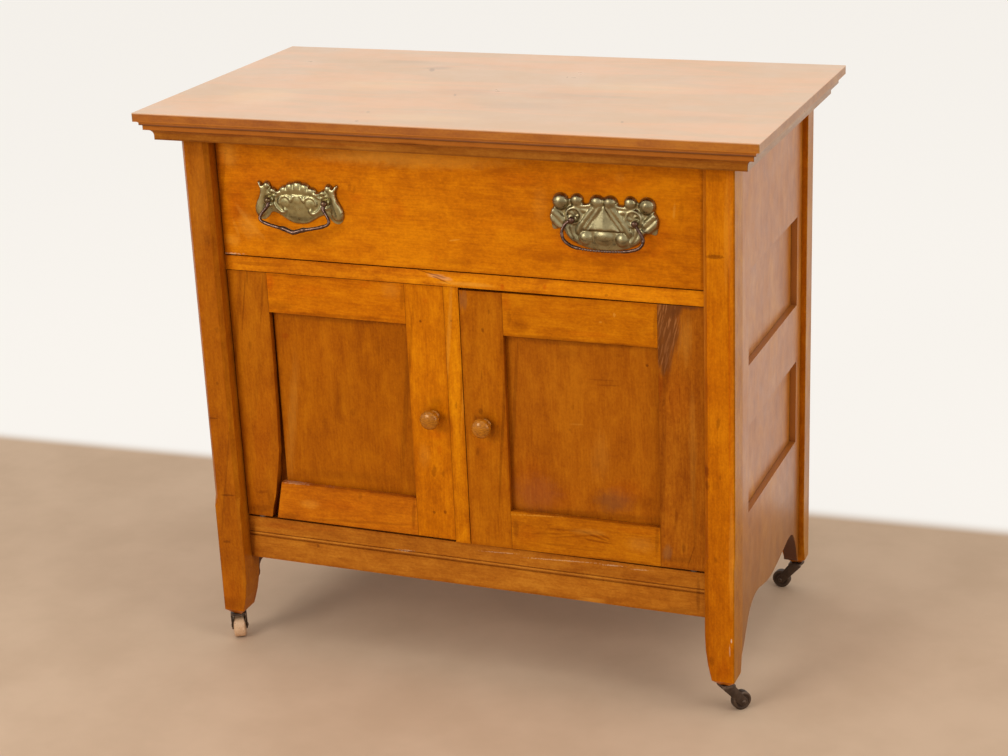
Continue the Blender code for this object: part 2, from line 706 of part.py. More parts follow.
def rails():
    """The rail under the drawer and the beaded rail under the doors, with the holes of the doors' pins."""
    reach = POST_INNER - GAP
    drawer_rail = block("drawer_rail", (-reach, RAIL_FRONT, DRAWER_RAIL_BOTTOM),
                        (reach, RAIL_FRONT + DRAWER_RAIL_DEPTH, DRAWER_RAIL_TOP), "drawer_wood")
    bottom_rail = flat_outline("bottom_rail", [bottom_rail_section()], 2 * reach, (0, 0, 0), FACING_SIDE,
                               "drawer_wood")
    depth = PIN_IN_RAIL + GAP
    for side in (-1, 1):
        x = side * PIVOT_X
        upper = rod(f"upper_pin_hole_{side_name(side)}", PIN_RADIUS + GAP,
                    (x, PIVOT_Y, DRAWER_RAIL_BOTTOM - OVERRUN), (x, PIVOT_Y, DRAWER_RAIL_BOTTOM + depth))
        lower = rod(f"lower_pin_hole_{side_name(side)}", PIN_RADIUS + GAP,
                    (x, PIVOT_Y, BOTTOM_RAIL_TOP - depth), (x, PIVOT_Y, BOTTOM_RAIL_TOP + OVERRUN))
        cut(drawer_rail, upper)
        cut(bottom_rail, lower)


def cupboard_floor():
    """The floor of the cupboard, notched round the back posts."""
    front = RAIL_FRONT + BOTTOM_RAIL_THICKNESS + GAP
    wide, narrow = SIDE_INNER - GAP, POST_INNER - GAP
    notch, back = SIDE_BACK, BACK_FRONT - GAP
    outline = [(-wide, front), (wide, front), (wide, notch), (narrow, notch),
               (narrow, back), (-narrow, back), (-narrow, notch), (-wide, notch)]
    top = BOTTOM_RAIL_TOP - FLOOR_DROP
    flat_outline("cupboard_floor", [outline], FLOOR_THICKNESS, (0, 0, top - FLOOR_THICKNESS / 2), LYING_FLAT,
                 "inside_wood")


def back_panel():
    """The back of upright boards, shown by a groove along each of their joints."""
    half = POST_INNER - GAP
    board = 2 * half / BACK_BOARDS
    back = BACK_FRONT + BACK_THICKNESS
    outline = [(-half, BACK_FRONT), (half, BACK_FRONT), (half, back)]
    for joint in range(BACK_BOARDS - 1, 0, -1):
        x = -half + board * joint
        outline += [(x + BACK_GROOVE, back), (x, back - BACK_GROOVE), (x - BACK_GROOVE, back)]
    outline.append((-half, back))
    height = POST_TOP - BACK_BOTTOM
    flat_outline("back_panel", [outline], height, (0, 0, BACK_BOTTOM + height / 2), LYING_FLAT,
                 "inside_wood")


def runners():
    """A runner inside each side, which carries the drawer and guides it."""
    near = RAIL_FRONT + DRAWER_RAIL_DEPTH + GAP
    far = SIDE_BACK - GAP
    top = DRAWER_RAIL_TOP + GAP
    for side in (-1, 1):
        tread = POST_INNER - RUNNER_WIDTH
        outer = SIDE_INNER - GAP
        guide_top = top + RUNNER_GUIDE_HEIGHT
        section = [(tread, DRAWER_RAIL_BOTTOM), (outer, DRAWER_RAIL_BOTTOM), (outer, guide_top),
                   (POST_INNER, guide_top), (POST_INNER, top), (tread, top)]
        outline = [(side * x, z) for x, z in section]
        flat_outline(f"drawer_runner_{side_name(side)}", [outline], far - near, (0, (near + far) / 2, 0),
                     FACING_FRONT, "inside_wood")


def door_stop():
    """A batten behind the doors, under the rail that they close against."""
    near = DOOR_BACK + STOP_CLEARANCE
    block("door_stop", (-STOP_LENGTH / 2, near, DRAWER_RAIL_BOTTOM - GAP - STOP_THICKNESS),
          (STOP_LENGTH / 2, near + STOP_THICKNESS, DRAWER_RAIL_BOTTOM - GAP), "inside_wood")


def tail_places():
    """Middle height of each dovetail and half its width where it leaves the side."""
    pitch = (DRAWER_SIDE_HIGH - DRAWER_SIDE_LOW) / DOVETAILS
    root = pitch * DOVETAIL_ROOT_SHARE / 2
    return [(DRAWER_SIDE_LOW + pitch * (tail + 1 / 2), root) for tail in range(DOVETAILS)]


def drawer_side_outline():
    """The (y, z) outline of a drawer side with its dovetails at the front."""
    tip, root = DRAWER_FRONT_BACK - DOVETAIL_LENGTH, DRAWER_FRONT_BACK + GAP
    points = [(root, DRAWER_SIDE_LOW)]
    for middle, half in tail_places():
        wide = half + DOVETAIL_SPLAY
        points += [(root, middle - half), (tip, middle - wide), (tip, middle + wide), (root, middle + half)]
    points += [(root, DRAWER_SIDE_HIGH), (DRAWER_END, DRAWER_SIDE_HIGH), (DRAWER_END, DRAWER_SIDE_LOW)]
    return points


def socket_outlines():
    """The (y, z) outlines of the sockets that take the dovetails, with a gap all round."""
    tip, mouth = DRAWER_FRONT_BACK - DOVETAIL_LENGTH - GAP, DRAWER_FRONT_BACK + OVERRUN
    splay = DOVETAIL_SPLAY / DOVETAIL_LENGTH
    shapes = []
    for middle, half in tail_places():
        wide = half + DOVETAIL_SPLAY + GAP * (1 + splay)
        narrow = wide - splay * (mouth - tip)
        shapes.append([(mouth, middle - narrow), (tip, middle - wide),
                       (tip, middle + wide), (mouth, middle + narrow)])
    return shapes


def drawer():
    """A dovetailed drawer on its own empty, open at the top."""
    slide = pivot("drawer_slide", (0, RAIL_FRONT, (DRAWER_LOW + DRAWER_HIGH) / 2))
    front = block("drawer_front", (-DRAWER_OUTER, RAIL_FRONT, DRAWER_LOW),
                  (DRAWER_OUTER, DRAWER_FRONT_BACK, DRAWER_HIGH), "drawer_wood")
    groove_low = DRAWER_SIDE_LOW + DRAWER_BOTTOM_RAISE
    groove_high = groove_low + DRAWER_BOTTOM_THICKNESS + 2 * GAP
    groove_end = DRAWER_FRONT_BACK - DRAWER_GROOVE_DEPTH
    cut(front, block("front_groove", (-DRAWER_INNER, groove_end, groove_low),
                     (DRAWER_INNER, DRAWER_FRONT_BACK + OVERRUN, groove_high)))
    carry(slide, front)
    for side in (-1, 1):
        name = side_name(side)
        outer, inner = DRAWER_OUTER - GAP, DRAWER_INNER
        middle = side * (outer + inner) / 2
        board = flat_outline(f"drawer_side_{name}", [drawer_side_outline()], DRAWER_SIDE_THICKNESS,
                             (middle, 0, 0), FACING_SIDE, "inside_wood")
        groove = block(f"side_groove_{name}", *ordered(
            (side * (inner - OVERRUN), DRAWER_FRONT_BACK + 2 * GAP, groove_low),
            (side * (inner + DRAWER_GROOVE_DEPTH), DRAWER_END + OVERRUN, groove_high)))
        cut(board, groove)
        socket_inner, socket_outer = inner - GAP, DRAWER_OUTER + OVERRUN
        sockets = flat_outline(f"sockets_{name}", socket_outlines(), socket_outer - socket_inner,
                               (side * (socket_inner + socket_outer) / 2, 0, 0), FACING_SIDE)
        cut(front, sockets)
        carry(slide, board)
    back_high = DRAWER_SIDE_HIGH - DRAWER_BACK_DROP
    back_reach = DRAWER_INNER - GAP
    back = block("drawer_back", (-back_reach, DRAWER_END - DRAWER_SIDE_THICKNESS, groove_high),
                 (back_reach, DRAWER_END, back_high), "inside_wood")
    bottom_reach = DRAWER_INNER + DRAWER_GROOVE_DEPTH - GAP
    bottom_front = DRAWER_FRONT_BACK + 3 * GAP
    bottom = block("drawer_bottom", (-bottom_reach, bottom_front, groove_low + GAP),
                   (bottom_reach, DRAWER_END, groove_high - GAP), "inside_wood")
    carry(slide, back, bottom)
    return slide


def mirrored(half):
    """A whole outline from half of one that starts and ends on the middle line."""
    return half + [(-x, y, *rest) for x, y, *rest in reversed(half[1:-1])]


def plate_outline(shares, reach, rise, fall):
    half = [(reach * across, (rise if up > 0 else fall) * up, "round") for across, up in shares]
    return mirrored(half)


def pull_plate(name, centre, shift, shares, reach, rise, fall):
    """A stamped plate, shifted from between its two drilled posts, which hold the bail."""
    back = RAIL_FRONT - GAP
    outline = plate_outline(shares, reach, rise, fall)
    middle = back - PULL_PLATE_THICKNESS / 2
    plate = flat_outline(name, [outline], PULL_PLATE_THICKNESS, (centre + shift, middle, PULL_HEIGHT),
                         FACING_FRONT, "brass")
    for side in (-1, 1):
        x = centre + side * PULL_BORE / 2
        stem = rod(f"{name}_post_{side_name(side)}", PULL_POST_RADIUS,
                   (x, middle, PULL_HEIGHT), (x, back - PULL_POST_LENGTH, PULL_HEIGHT))
        join(plate, stem)
        hole = rod(f"{name}_hole_{side_name(side)}", PULL_HOLE_RADIUS,
                   (x - PULL_POST_RADIUS - OVERRUN, PULL_AXIS, PULL_HEIGHT),
                   (x + PULL_POST_RADIUS + OVERRUN, PULL_AXIS, PULL_HEIGHT), segments=12)
        cut(plate, hole)
    return plate


def smoothed(points):
    """The points with others between them on a smooth curve through them all."""
    points = [Vector(point) for point in points]
    route = []
    for i in range(len(points) - 1):
        before, start = points[max(i - 1, 0)], points[i]
        end, after = points[i + 1], points[min(i + 2, len(points) - 1)]
        for step in range(BAIL_SMOOTHING):
            t = step / BAIL_SMOOTHING
            route.append((
                2 * start + (end - before) * t + (2 * before - 5 * start + 4 * end - after) * t ** 2
                + (3 * start - before - 3 * end + after) * t ** 3
            ) / 2)
    return route + [points[-1]]


def bail(name, centre, shares, fall, tilt, parent):
    """A bail hung by its inturned ends, with its wire thickest in the middle."""
    inner_end = PULL_BORE / 2 - PULL_POST_RADIUS
    outer_end = PULL_BORE / 2 + PULL_POST_RADIUS + GAP
    half = [(inner_end, 0, shares[0][2]), (outer_end, 0, shares[0][2])]
    half += [(BAIL_REACH * across, -fall * down, thick) for across, down, thick in shares]
    whole = half + [(-x, z, thick) for x, z, thick in reversed(half[:-1])]
    route = [whole[0]] + [tuple(point) for point in smoothed(whole[1:-1])] + [whole[-1]]
    points = [((x, z * math.sin(tilt), z * math.cos(tilt)), thick) for x, z, thick in route]
    swing = pivot(f"{name}_swing", (centre, PULL_AXIS, PULL_HEIGHT), parent)
    wire = tube(name, points, BAIL_RADIUS, "bronze")
    wire.location = (centre, PULL_AXIS, PULL_HEIGHT)
    carry(swing, wire)


def pulls(slide):
    left = pull_plate("pull_plate_left", LEFT_PULL_X, 0, LEFT_PLATE_SHARES, LEFT_PLATE_REACH,
                      LEFT_PLATE_RISE, LEFT_PLATE_FALL)
    right = pull_plate("pull_plate_right", RIGHT_PULL_X, RIGHT_PLATE_SHIFT, RIGHT_PLATE_SHARES,
                       RIGHT_PLATE_REACH, RIGHT_PLATE_RISE, RIGHT_PLATE_FALL)
    carry(slide, left, right)
    bail("bail_left", LEFT_PULL_X, LEFT_BAIL_SHARES, LEFT_BAIL_FALL, LEFT_BAIL_TILT, slide)
    bail("bail_right", RIGHT_PULL_X, RIGHT_BAIL_SHARES, RIGHT_BAIL_FALL, RIGHT_BAIL_TILT, slide)


def groove_planes():
    """Front and back of the groove that holds a door's panel."""
    front = RAIL_FRONT + PANEL_RECESS
    return front, front + PANEL_THICKNESS + 2 * GAP


def stile(name, edge, inner, low, high):
    """An upright of a door from its outer edge to its inner one, grooved along the inner one."""
    front, back = groove_planes()
    deep = inner + math.copysign(GROOVE_DEPTH, edge - inner)
    outline = [(edge, RAIL_FRONT), (inner, RAIL_FRONT), (inner, front), (deep, front), (deep, back),
               (inner, back), (inner, DOOR_BACK), (edge, DOOR_BACK)]
    return flat_outline(name, [outline], high - low, (0, 0, (low + high) / 2), LYING_FLAT, "frame_wood")


def worn_stile(name, edge, inner, low, high):
    """The left door's outer upright, whose front is broken away along its groove towards its foot."""
    made = stile(name, edge, inner, low, high)
    beyond = inner + OVERRUN
    worn = [(inner - WORN_EDGE_DEPTH * away, low + (high - low) * up) for up, away in WORN_EDGE_SHARES]
    foot = [(worn[-1][0], low - OVERRUN), (beyond, low - OVERRUN)]
    near, far = RAIL_FRONT - OVERRUN, groove_planes()[1] - GAP
    cut(made, flat_outline(f"{name}_wear", [[(beyond, worn[0][1])] + worn + foot], far - near,
                           (0, (near + far) / 2, 0), FACING_FRONT))
    return made


def slanted_end(name, inner, low, high):
    """The end of the left door's lower rail, which shows where the upright beside it is broken away."""
    near, far = RAIL_FRONT, groove_planes()[1] - 2 * GAP
    root = inner + LEFT_PANEL_SHRINKAGE - 2 * GAP
    outline = [(root, low), (root, high), (inner - SLANT_TOP, high), (inner - SLANT_TOP - SLANT_RUN, low)]
    return flat_outline(name, [outline], far - near, (0, (near + far) / 2, 0), FACING_FRONT)


def door_rail(name, left, right, outer, inner, left_tongue=RAIL_TONGUE):
    """A cross piece of a door, grooved along its inner edge and tongued into its uprights."""
    front, back = groove_planes()
    outward = math.copysign(1, outer - inner)
    deep = inner + outward * GROOVE_DEPTH
    outline = [(RAIL_FRONT, outer), (RAIL_FRONT, inner), (front, inner), (front, deep), (back, deep),
               (back, inner), (DOOR_BACK, inner), (DOOR_BACK, outer)]
    rail = flat_outline(name, [outline], right - left, ((left + right) / 2, 0, 0), FACING_SIDE, "frame_wood")
    tongue = block(f"{name}_tongue", *ordered(
        (left - left_tongue, front + GAP, deep + outward * GAP),
        (right + RAIL_TONGUE, back - GAP, outer - outward * TONGUE_HAUNCH)))
    join(rail, tongue)
    return rail


def knob(name, x, height):
    """A turned knob, with the dowel that holds it in the door."""
    profile = [(0, KNOB_LENGTH)]
    profile += [(KNOB_RADIUS * across, KNOB_LENGTH * out) for out, across in reversed(KNOB_HEAD_SHARES)]
    neck = KNOB_LENGTH * KNOB_HEAD_SHARES[0][0] / 2
    profile += [(KNOB_NECK_RADIUS, neck), (KNOB_FOOT_RADIUS, neck / 2), (KNOB_FOOT_RADIUS, GAP),
                (KNOB_DOWEL_RADIUS, GAP), (KNOB_DOWEL_RADIUS, -KNOB_DOWEL_LENGTH), (0, -KNOB_DOWEL_LENGTH)]
    made = turned(name, profile, "knob_wood")
    made.location = (x, RAIL_FRONT, height)
    made.rotation_euler = FACING_FRONT
    return made


def knob_hole(name, x, height):
    return rod(name, KNOB_DOWEL_RADIUS + GAP, (x, RAIL_FRONT - OVERRUN, height),
               (x, RAIL_FRONT + KNOB_DOWEL_LENGTH + GAP, height))


def door_pins(side):
    """The pins that a door turns on, the lower one with a collar that carries the door."""
    x, name = side * PIVOT_X, side_name(side)
    upper = rod(f"door_pin_{name}_top", PIN_RADIUS, (x, PIVOT_Y, DOOR_HIGH - PIN_IN_DOOR),
                (x, PIVOT_Y, DRAWER_RAIL_BOTTOM + PIN_IN_RAIL), "iron")
    top, foot = DOOR_LOW + PIN_IN_DOOR, BOTTOM_RAIL_TOP - PIN_IN_RAIL
    collar_top, collar_foot = DOOR_LOW - GAP, BOTTOM_RAIL_TOP + GAP
    profile = [(0, top), (PIN_RADIUS, top), (PIN_RADIUS, collar_top), (PIN_COLLAR_RADIUS, collar_top),
               (PIN_COLLAR_RADIUS, collar_foot), (PIN_RADIUS, collar_foot), (PIN_RADIUS, foot), (0, foot)]
    lower = turned(f"door_pin_{name}_bottom", profile, "iron", steps=16)
    lower.location = (x, PIVOT_Y, 0)
    return upper, lower


def pin_holes(side):
    x, name = side * PIVOT_X, side_name(side)
    depth = PIN_IN_DOOR + 2 * GAP
    return (
        rod(f"top_pin_hole_{name}", PIN_RADIUS + GAP, (x, PIVOT_Y, DOOR_HIGH - depth),
            (x, PIVOT_Y, DOOR_HIGH + OVERRUN)),
        rod(f"bottom_pin_hole_{name}", PIN_RADIUS + GAP, (x, PIVOT_Y, DOOR_LOW - OVERRUN),
            (x, PIVOT_Y, DOOR_LOW + depth)),
    )


def panel_block(name, left, right, low, high, left_tongue=GROOVE_DEPTH - GAP):
    """A door panel that reaches into the grooves round its opening."""
    front, back = groove_planes()
    tongue = GROOVE_DEPTH - GAP
    return block(name, (left - left_tongue, front + GAP, low - tongue),
                 (right + tongue, back - GAP, high + tongue), "panel_wood")


def left_door():
    """The left door, with the strip that covers the meeting of the two doors."""
    turn = pivot("left_door_pivot", (-PIVOT_X, PIVOT_Y, DOOR_LOW))
    stile_inner = -DOOR_OUTER + LEFT_HINGE_STILE
    lock_inner = LEFT_DOOR_RIGHT - LEFT_LOCK_STILE
    low_edge, high_edge = DOOR_LOW + DOOR_BOTTOM_RAIL, DOOR_HIGH - LEFT_TOP_RAIL
    hinge_stile = worn_stile("left_door_hinge_stile", -DOOR_OUTER, stile_inner, DOOR_LOW, DOOR_HIGH)
    cut(hinge_stile, *pin_holes(-1))
    lock_stile = stile("left_door_lock_stile", LEFT_DOOR_RIGHT, lock_inner, DOOR_LOW, DOOR_HIGH)
    cut(lock_stile, knob_hole("left_knob_hole", *LEFT_KNOB))
    left, right = stile_inner + GAP, lock_inner - GAP
    bottom_rail = door_rail("left_door_bottom_rail", left, right, DOOR_LOW, low_edge, left_tongue=0)
    join(bottom_rail, slanted_end("left_door_bottom_rail_end", stile_inner, DOOR_LOW, low_edge))
    pieces = [
        hinge_stile,
        lock_stile,
        door_rail("left_door_top_rail", left, right, DOOR_HIGH, high_edge),
        bottom_rail,
        panel_block("left_door_panel", stile_inner, lock_inner, low_edge, high_edge, -LEFT_PANEL_SHRINKAGE),
        block("left_door_meeting_strip", (STRIP_LEFT, RAIL_FRONT, BOTTOM_RAIL_TOP + GAP),
              (STRIP_RIGHT, DOOR_BACK, DRAWER_RAIL_BOTTOM - GAP), "frame_wood"),
        knob("left_door_knob", *LEFT_KNOB),
        *door_pins(-1),
    ]
    carry(turn, *pieces)


def shear(obj):
    """Lets the piece sag towards the door's free edge, in proportion to its distance from the hinge edge."""
    bake(obj)
    place = obj.matrix_world
    slope = RIGHT_DOOR_SAG / (DOOR_OUTER - RIGHT_DOOR_LEFT)
    back_again = place.inverted()
    for vert in obj.data.vertices:
        world = place @ vert.co
        world.z -= slope * (DOOR_OUTER - world.x)
        vert.co = back_again @ world
    obj.data.update()


def right_door():
    """The right door, out of square so that its free edge hangs low."""
    turn = pivot("right_door_pivot", (PIVOT_X, PIVOT_Y, DOOR_LOW))
    stile_inner = DOOR_OUTER - RIGHT_HINGE_STILE
    lock_inner = RIGHT_DOOR_LEFT + RIGHT_LOCK_STILE
    low_edge, high_edge = DOOR_LOW + DOOR_BOTTOM_RAIL, DOOR_HIGH - RIGHT_TOP_RAIL
    hinge_stile = stile("right_door_hinge_stile", DOOR_OUTER, stile_inner, DOOR_LOW, DOOR_HIGH)
    cut(hinge_stile, *pin_holes(1))
    lock_stile = stile("right_door_lock_stile", RIGHT_DOOR_LEFT, lock_inner, DOOR_LOW, DOOR_HIGH)
    cut(lock_stile, knob_hole("right_knob_hole", *RIGHT_KNOB))
    left, right = lock_inner + GAP, stile_inner - GAP
    pieces = [
        hinge_stile,
        lock_stile,
        door_rail("right_door_top_rail", left, right, DOOR_HIGH, high_edge),
        door_rail("right_door_bottom_rail", left, right, DOOR_LOW, low_edge),
        panel_block("right_door_panel", lock_inner, stile_inner, low_edge, high_edge),
        knob("right_door_knob", *RIGHT_KNOB),
    ]
    for piece in pieces:
        shear(piece)
    carry(turn, *pieces, *door_pins(1))


def ear_outline(wheel_radius, trail):
    """The (along, height) outline of an ear from the crown down round the axle."""
    top = FOOT_HEIGHT - GAP - CROWN_THICKNESS / 2
    points = [(-CROWN_FRONT, top), (-CROWN_FRONT, top - CROWN_THICKNESS)]
    lean = math.atan2(top - wheel_radius, trail + CROWN_FRONT)
    for step in range(EAR_STEPS + 1):
        turn = math.pi + (math.pi / 2 - lean) + (math.pi / 2 + lean) * step / EAR_STEPS
        points.append((
            trail + EAR_TIP_RADIUS * math.cos(turn), wheel_radius + EAR_TIP_RADIUS * math.sin(turn)
        ))
    points.append((trail + EAR_TIP_RADIUS, wheel_radius + EAR_TIP_RADIUS / 2))
    points += [(CROWN_BACK, top - CROWN_THICKNESS), (CROWN_BACK, top)]
    return points


def castor(name, wheel_radius, wheel_width, trail, heading):
    """A castor with its stem up in the foot and its wheel behind it in a fork."""
    x, y = stem_place(name)
    half_inside = wheel_width / 2 + EAR_CLEARANCE
    half_outside = half_inside + EAR_THICKNESS
    crown_top = FOOT_HEIGHT - GAP
    fork = block(f"castor_fork_{name}", (-CROWN_FRONT, -half_outside, crown_top - CROWN_THICKNESS),
                 (CROWN_BACK, half_outside, crown_top), "iron")
    fork_middle = fork.location.copy()
    parts = [
        flat_outline(f"ear_{name}_{side_name(side)}", [ear_outline(wheel_radius, trail)], EAR_THICKNESS,
                     (0, side * (half_inside + EAR_THICKNESS / 2), 0), FACING_FRONT)
        for side in (-1, 1)
    ]
    parts.append(rod(f"stem_{name}", STEM_RADIUS, (0, 0, crown_top - CROWN_THICKNESS / 2),
                     (0, 0, FOOT_HEIGHT + STEM_LENGTH)))
    axle_end = half_outside + AXLE_HEAD
    parts.append(rod(f"axle_{name}", AXLE_RADIUS, (trail, -axle_end, wheel_radius),
                     (trail, axle_end, wheel_radius), segments=12))
    join(fork, *parts)
    bake(fork)
    fork.data.transform(Matrix.Translation(fork_middle))
    swivel = pivot(f"castor_swivel_{name}", (x, y, FOOT_HEIGHT))
    fork.location = (x, y, 0)
    fork.rotation_euler = (0, 0, heading)
    carry(swivel, fork)
    forward = Vector((math.cos(heading), math.sin(heading), 0)) * trail
    axle = Vector((x, y, wheel_radius)) + forward
    roll = pivot(f"castor_axle_{name}", axle, swivel)
    wheel = castor_wheel(name, wheel_radius, wheel_width)
    wheel.location = axle
    wheel.rotation_euler = (math.pi / 2, 0, heading)
    carry(roll, wheel)


def castor_wheel(name, radius, width):
    """A drilled wheel with the edges of its tread rounded."""
    half, bore = width / 2, AXLE_RADIUS + GAP
    rim = []
    for step in range(TREAD_STEPS + 1):
        turn = math.pi / 2 * step / TREAD_STEPS
        inward, down = 1 - math.sin(turn), 1 - math.cos(turn)
        rim.append((radius - TREAD_ROUNDING * inward, half - TREAD_ROUNDING * down))
    lower_rim = [(across, -height) for across, height in reversed(rim)]
    profile = [(bore, half)] + rim + lower_rim + [(bore, -half), (bore, half)]
    return turned(f"castor_wheel_{name}", profile, "wheel_wood" if name == "front_left" else "iron")


def castors():
    for name, (_, _, heading, (wheel_radius, wheel_width, trail, _)) in CASTORS.items():
        castor(name, wheel_radius, wheel_width, trail, heading)


def main():
    top_board()
    mouldings()
    for side in (-1, 1):
        for front in (True, False):
            post(side, front)
        side_assembly(side)
    rails()
    cupboard_floor()
    back_panel()
    runners()
    door_stop()
    pulls(drawer())
    left_door()
    right_door()
    castors()


main()
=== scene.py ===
"""Looks of the washstand: finer pieces for its brass and castors, aged wood, light and camera."""
import math
import random

import bmesh
import bpy
from mathutils import Matrix, Vector, geometry, kdtree, noise

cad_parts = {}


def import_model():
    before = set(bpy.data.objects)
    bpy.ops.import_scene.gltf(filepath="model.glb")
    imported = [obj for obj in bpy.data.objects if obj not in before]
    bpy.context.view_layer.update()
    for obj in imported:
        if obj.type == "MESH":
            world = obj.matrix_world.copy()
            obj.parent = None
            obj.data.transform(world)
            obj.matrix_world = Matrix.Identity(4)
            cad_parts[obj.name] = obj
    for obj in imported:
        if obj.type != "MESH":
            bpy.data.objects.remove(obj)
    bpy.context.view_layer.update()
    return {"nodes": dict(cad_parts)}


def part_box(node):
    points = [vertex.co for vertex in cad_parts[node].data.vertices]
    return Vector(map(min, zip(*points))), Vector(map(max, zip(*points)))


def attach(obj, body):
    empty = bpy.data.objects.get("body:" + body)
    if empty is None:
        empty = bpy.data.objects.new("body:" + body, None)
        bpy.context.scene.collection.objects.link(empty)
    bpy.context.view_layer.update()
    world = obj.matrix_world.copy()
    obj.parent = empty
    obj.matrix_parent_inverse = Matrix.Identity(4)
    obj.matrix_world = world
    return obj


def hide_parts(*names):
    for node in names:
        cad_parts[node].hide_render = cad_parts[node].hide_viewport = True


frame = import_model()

NODES = frame["nodes"]
SCENE = bpy.context.scene


# Shader nodes

def operation(kind):
    """A method that adds a node of arithmetic."""
    return lambda value, *others: value.nodes.add("Math", (value, *others), operation=kind)


class Value:
    """An output of a node. What is done with it adds further nodes."""

    def __init__(self, nodes, socket):
        self.nodes, self.socket = nodes, socket

    __add__ = __radd__ = operation("ADD")
    __sub__ = operation("SUBTRACT")
    __mul__ = operation("MULTIPLY")
    __abs__ = operation("ABSOLUTE")
    least, most = operation("MINIMUM"), operation("MAXIMUM")

    def __rsub__(self, other):
        return self * -1 + other

    def band(self, low, high, to=1, start=0):
        """0 below low, 1 or another value above high, and smooth between them."""
        return self.nodes.add("MapRange", {
            "Value": self, "From Min": low, "From Max": high, "To Min": start, "To Max": to,
        }, "Result", interpolation_type="SMOOTHSTEP")

    def fade(self, low, high, start=1):
        """1 or another value below low, 0 above high, and smooth between them."""
        return self.band(low, high, 0, start)

    def scaled(self, by, offset=(0, 0, 0)):
        return self.nodes.add("VectorMath", (self, by, offset), operation="MULTIPLY_ADD")

    def noise(self, scale, detail=3, rough=0.55, distortion=0):
        """Noise at this place, with one scale, or with one for each axis."""
        place, scale = (self.scaled(scale), 1) if isinstance(scale, tuple) else (self, scale)
        return self.nodes.add("TexNoise", {
            "Vector": place, "Scale": scale, "Detail": detail, "Roughness": rough, "Distortion": distortion,
        }, "Fac")

    def paint(self, factor, colour, blend="MIX"):
        """This colour with another one over it."""
        return self.nodes.mix(factor, self, colour, blend)

    def stain(self, factor, tint):
        """This colour darkened or tinted by another one."""
        return self.paint(factor, (*tint, 1), "MULTIPLY")


class Nodes:
    """The nodes of the world or of a material."""

    def __init__(self, owner):
        owner.use_nodes = True
        self.owner, self.tree = owner, owner.node_tree

    def put(self, socket, value):
        if isinstance(value, Value):
            self.tree.links.new(value.socket, socket)
        else:
            socket.default_value = value

    def add(self, kind, inputs=(), output=0, **settings):
        """Adds a node, with inputs by name or in order, and returns one of its outputs."""
        made = self.tree.nodes.new(f"ShaderNode{kind}")
        for name, value in settings.items():
            setattr(made, name, value)
        for name, value in inputs.items() if isinstance(inputs, dict) else enumerate(inputs):
            self.put(made.inputs[name], value)
        return Value(self, made.outputs[output])

    def mix(self, factor, a, b, blend="MIX"):
        return self.add("Mix", {0: factor, 6: a, 7: b}, 2, data_type="RGBA", blend_type=blend)

    def seen(self):
        """1 for what the camera sees, in gloss and through glass too, and 0 for what only gives light."""
        camera_ray, glossy, through = (self.add("LightPath", output=f"Is {kind} Ray")
                                       for kind in ("Camera", "Glossy", "Transmission"))
        return camera_ray.most(glossy.most(through))


class Shader(Nodes):
    """A material, and the place on the object that it colours."""

    def __init__(self, name):
        super().__init__(bpy.data.materials.new(name))
        self.surface = self.tree.nodes["Principled BSDF"]
        self.place = self.add("TexCoord", output="Object")
        self.x, self.y, self.z = (self.add("SeparateXYZ", (self.place,), axis) for axis in "XYZ")

    def openness(self, distance, samples):
        """1 in the open, and less in a hollow."""
        return self.add("AmbientOcclusion", {"Distance": distance}, "AO", samples=samples)

    def bump(self, height, distance, strength):
        return self.add("Bump", {"Height": height, "Distance": distance, "Strength": strength})

    def finish(self, **sockets):
        for name, value in sockets.items():
            self.put(self.surface.inputs[name.replace("_", " ")], value)
        return self.owner


def mm(*values):
    """Millimetres in metres."""
    return tuple(value / 1000 for value in values)


def srgb(red, green, blue):
    """A linear colour from three values of 0 to 255."""
    def linear(value):
        value /= 255
        return value / 12.92 if value <= 0.04045 else ((value + 0.055) / 1.055) ** 2.4
    return (linear(red), linear(green), linear(blue), 1.0)


# Camera, light and floor

def placed(name, data):
    made = bpy.data.objects.new(name, data)
    SCENE.collection.objects.link(made)
    return made


def camera():
    yaw, pitch, roll = 0.387153, -0.3482939, -0.0427951
    data = bpy.data.cameras.new("camera")
    data.lens, data.sensor_width = 71.95, 36.0
    SCENE.camera = placed("camera", data)
    matrix = Matrix.Translation((0.903465, -2.228217, 1.214429))
    for turn, axis in ((yaw, "Z"), (math.pi / 2 + pitch, "X"), (roll, "Z")):
        matrix @= Matrix.Rotation(turn, 4, axis)
    SCENE.camera.matrix_world = matrix


def lamp(name, place, target, size, power):
    data = bpy.data.lights.new(name, "AREA")
    data.shape = "SQUARE"
    data.size, data.energy = size, power
    made = placed(name, data)
    made.location = place
    made.rotation_euler = (Vector(target) - Vector(place)).to_track_quat("-Z", "Y").to_euler()


def world():
    """A white room. It gives less light than the camera sees in it."""
    SCENE.world = bpy.data.worlds.new("room")
    nodes = Nodes(SCENE.world)
    nodes.tree.nodes.clear()
    light, white = (nodes.add("Background", {"Color": colour, "Strength": strength})
                    for colour, strength in (((1, 0.985, 0.965, 1), 0.62), ((1, 0.975, 0.94, 1), 1)))
    out = nodes.tree.nodes.new("ShaderNodeOutputWorld")
    nodes.put(out.inputs["Surface"], nodes.add("MixShader", (nodes.seen(), light, white)))


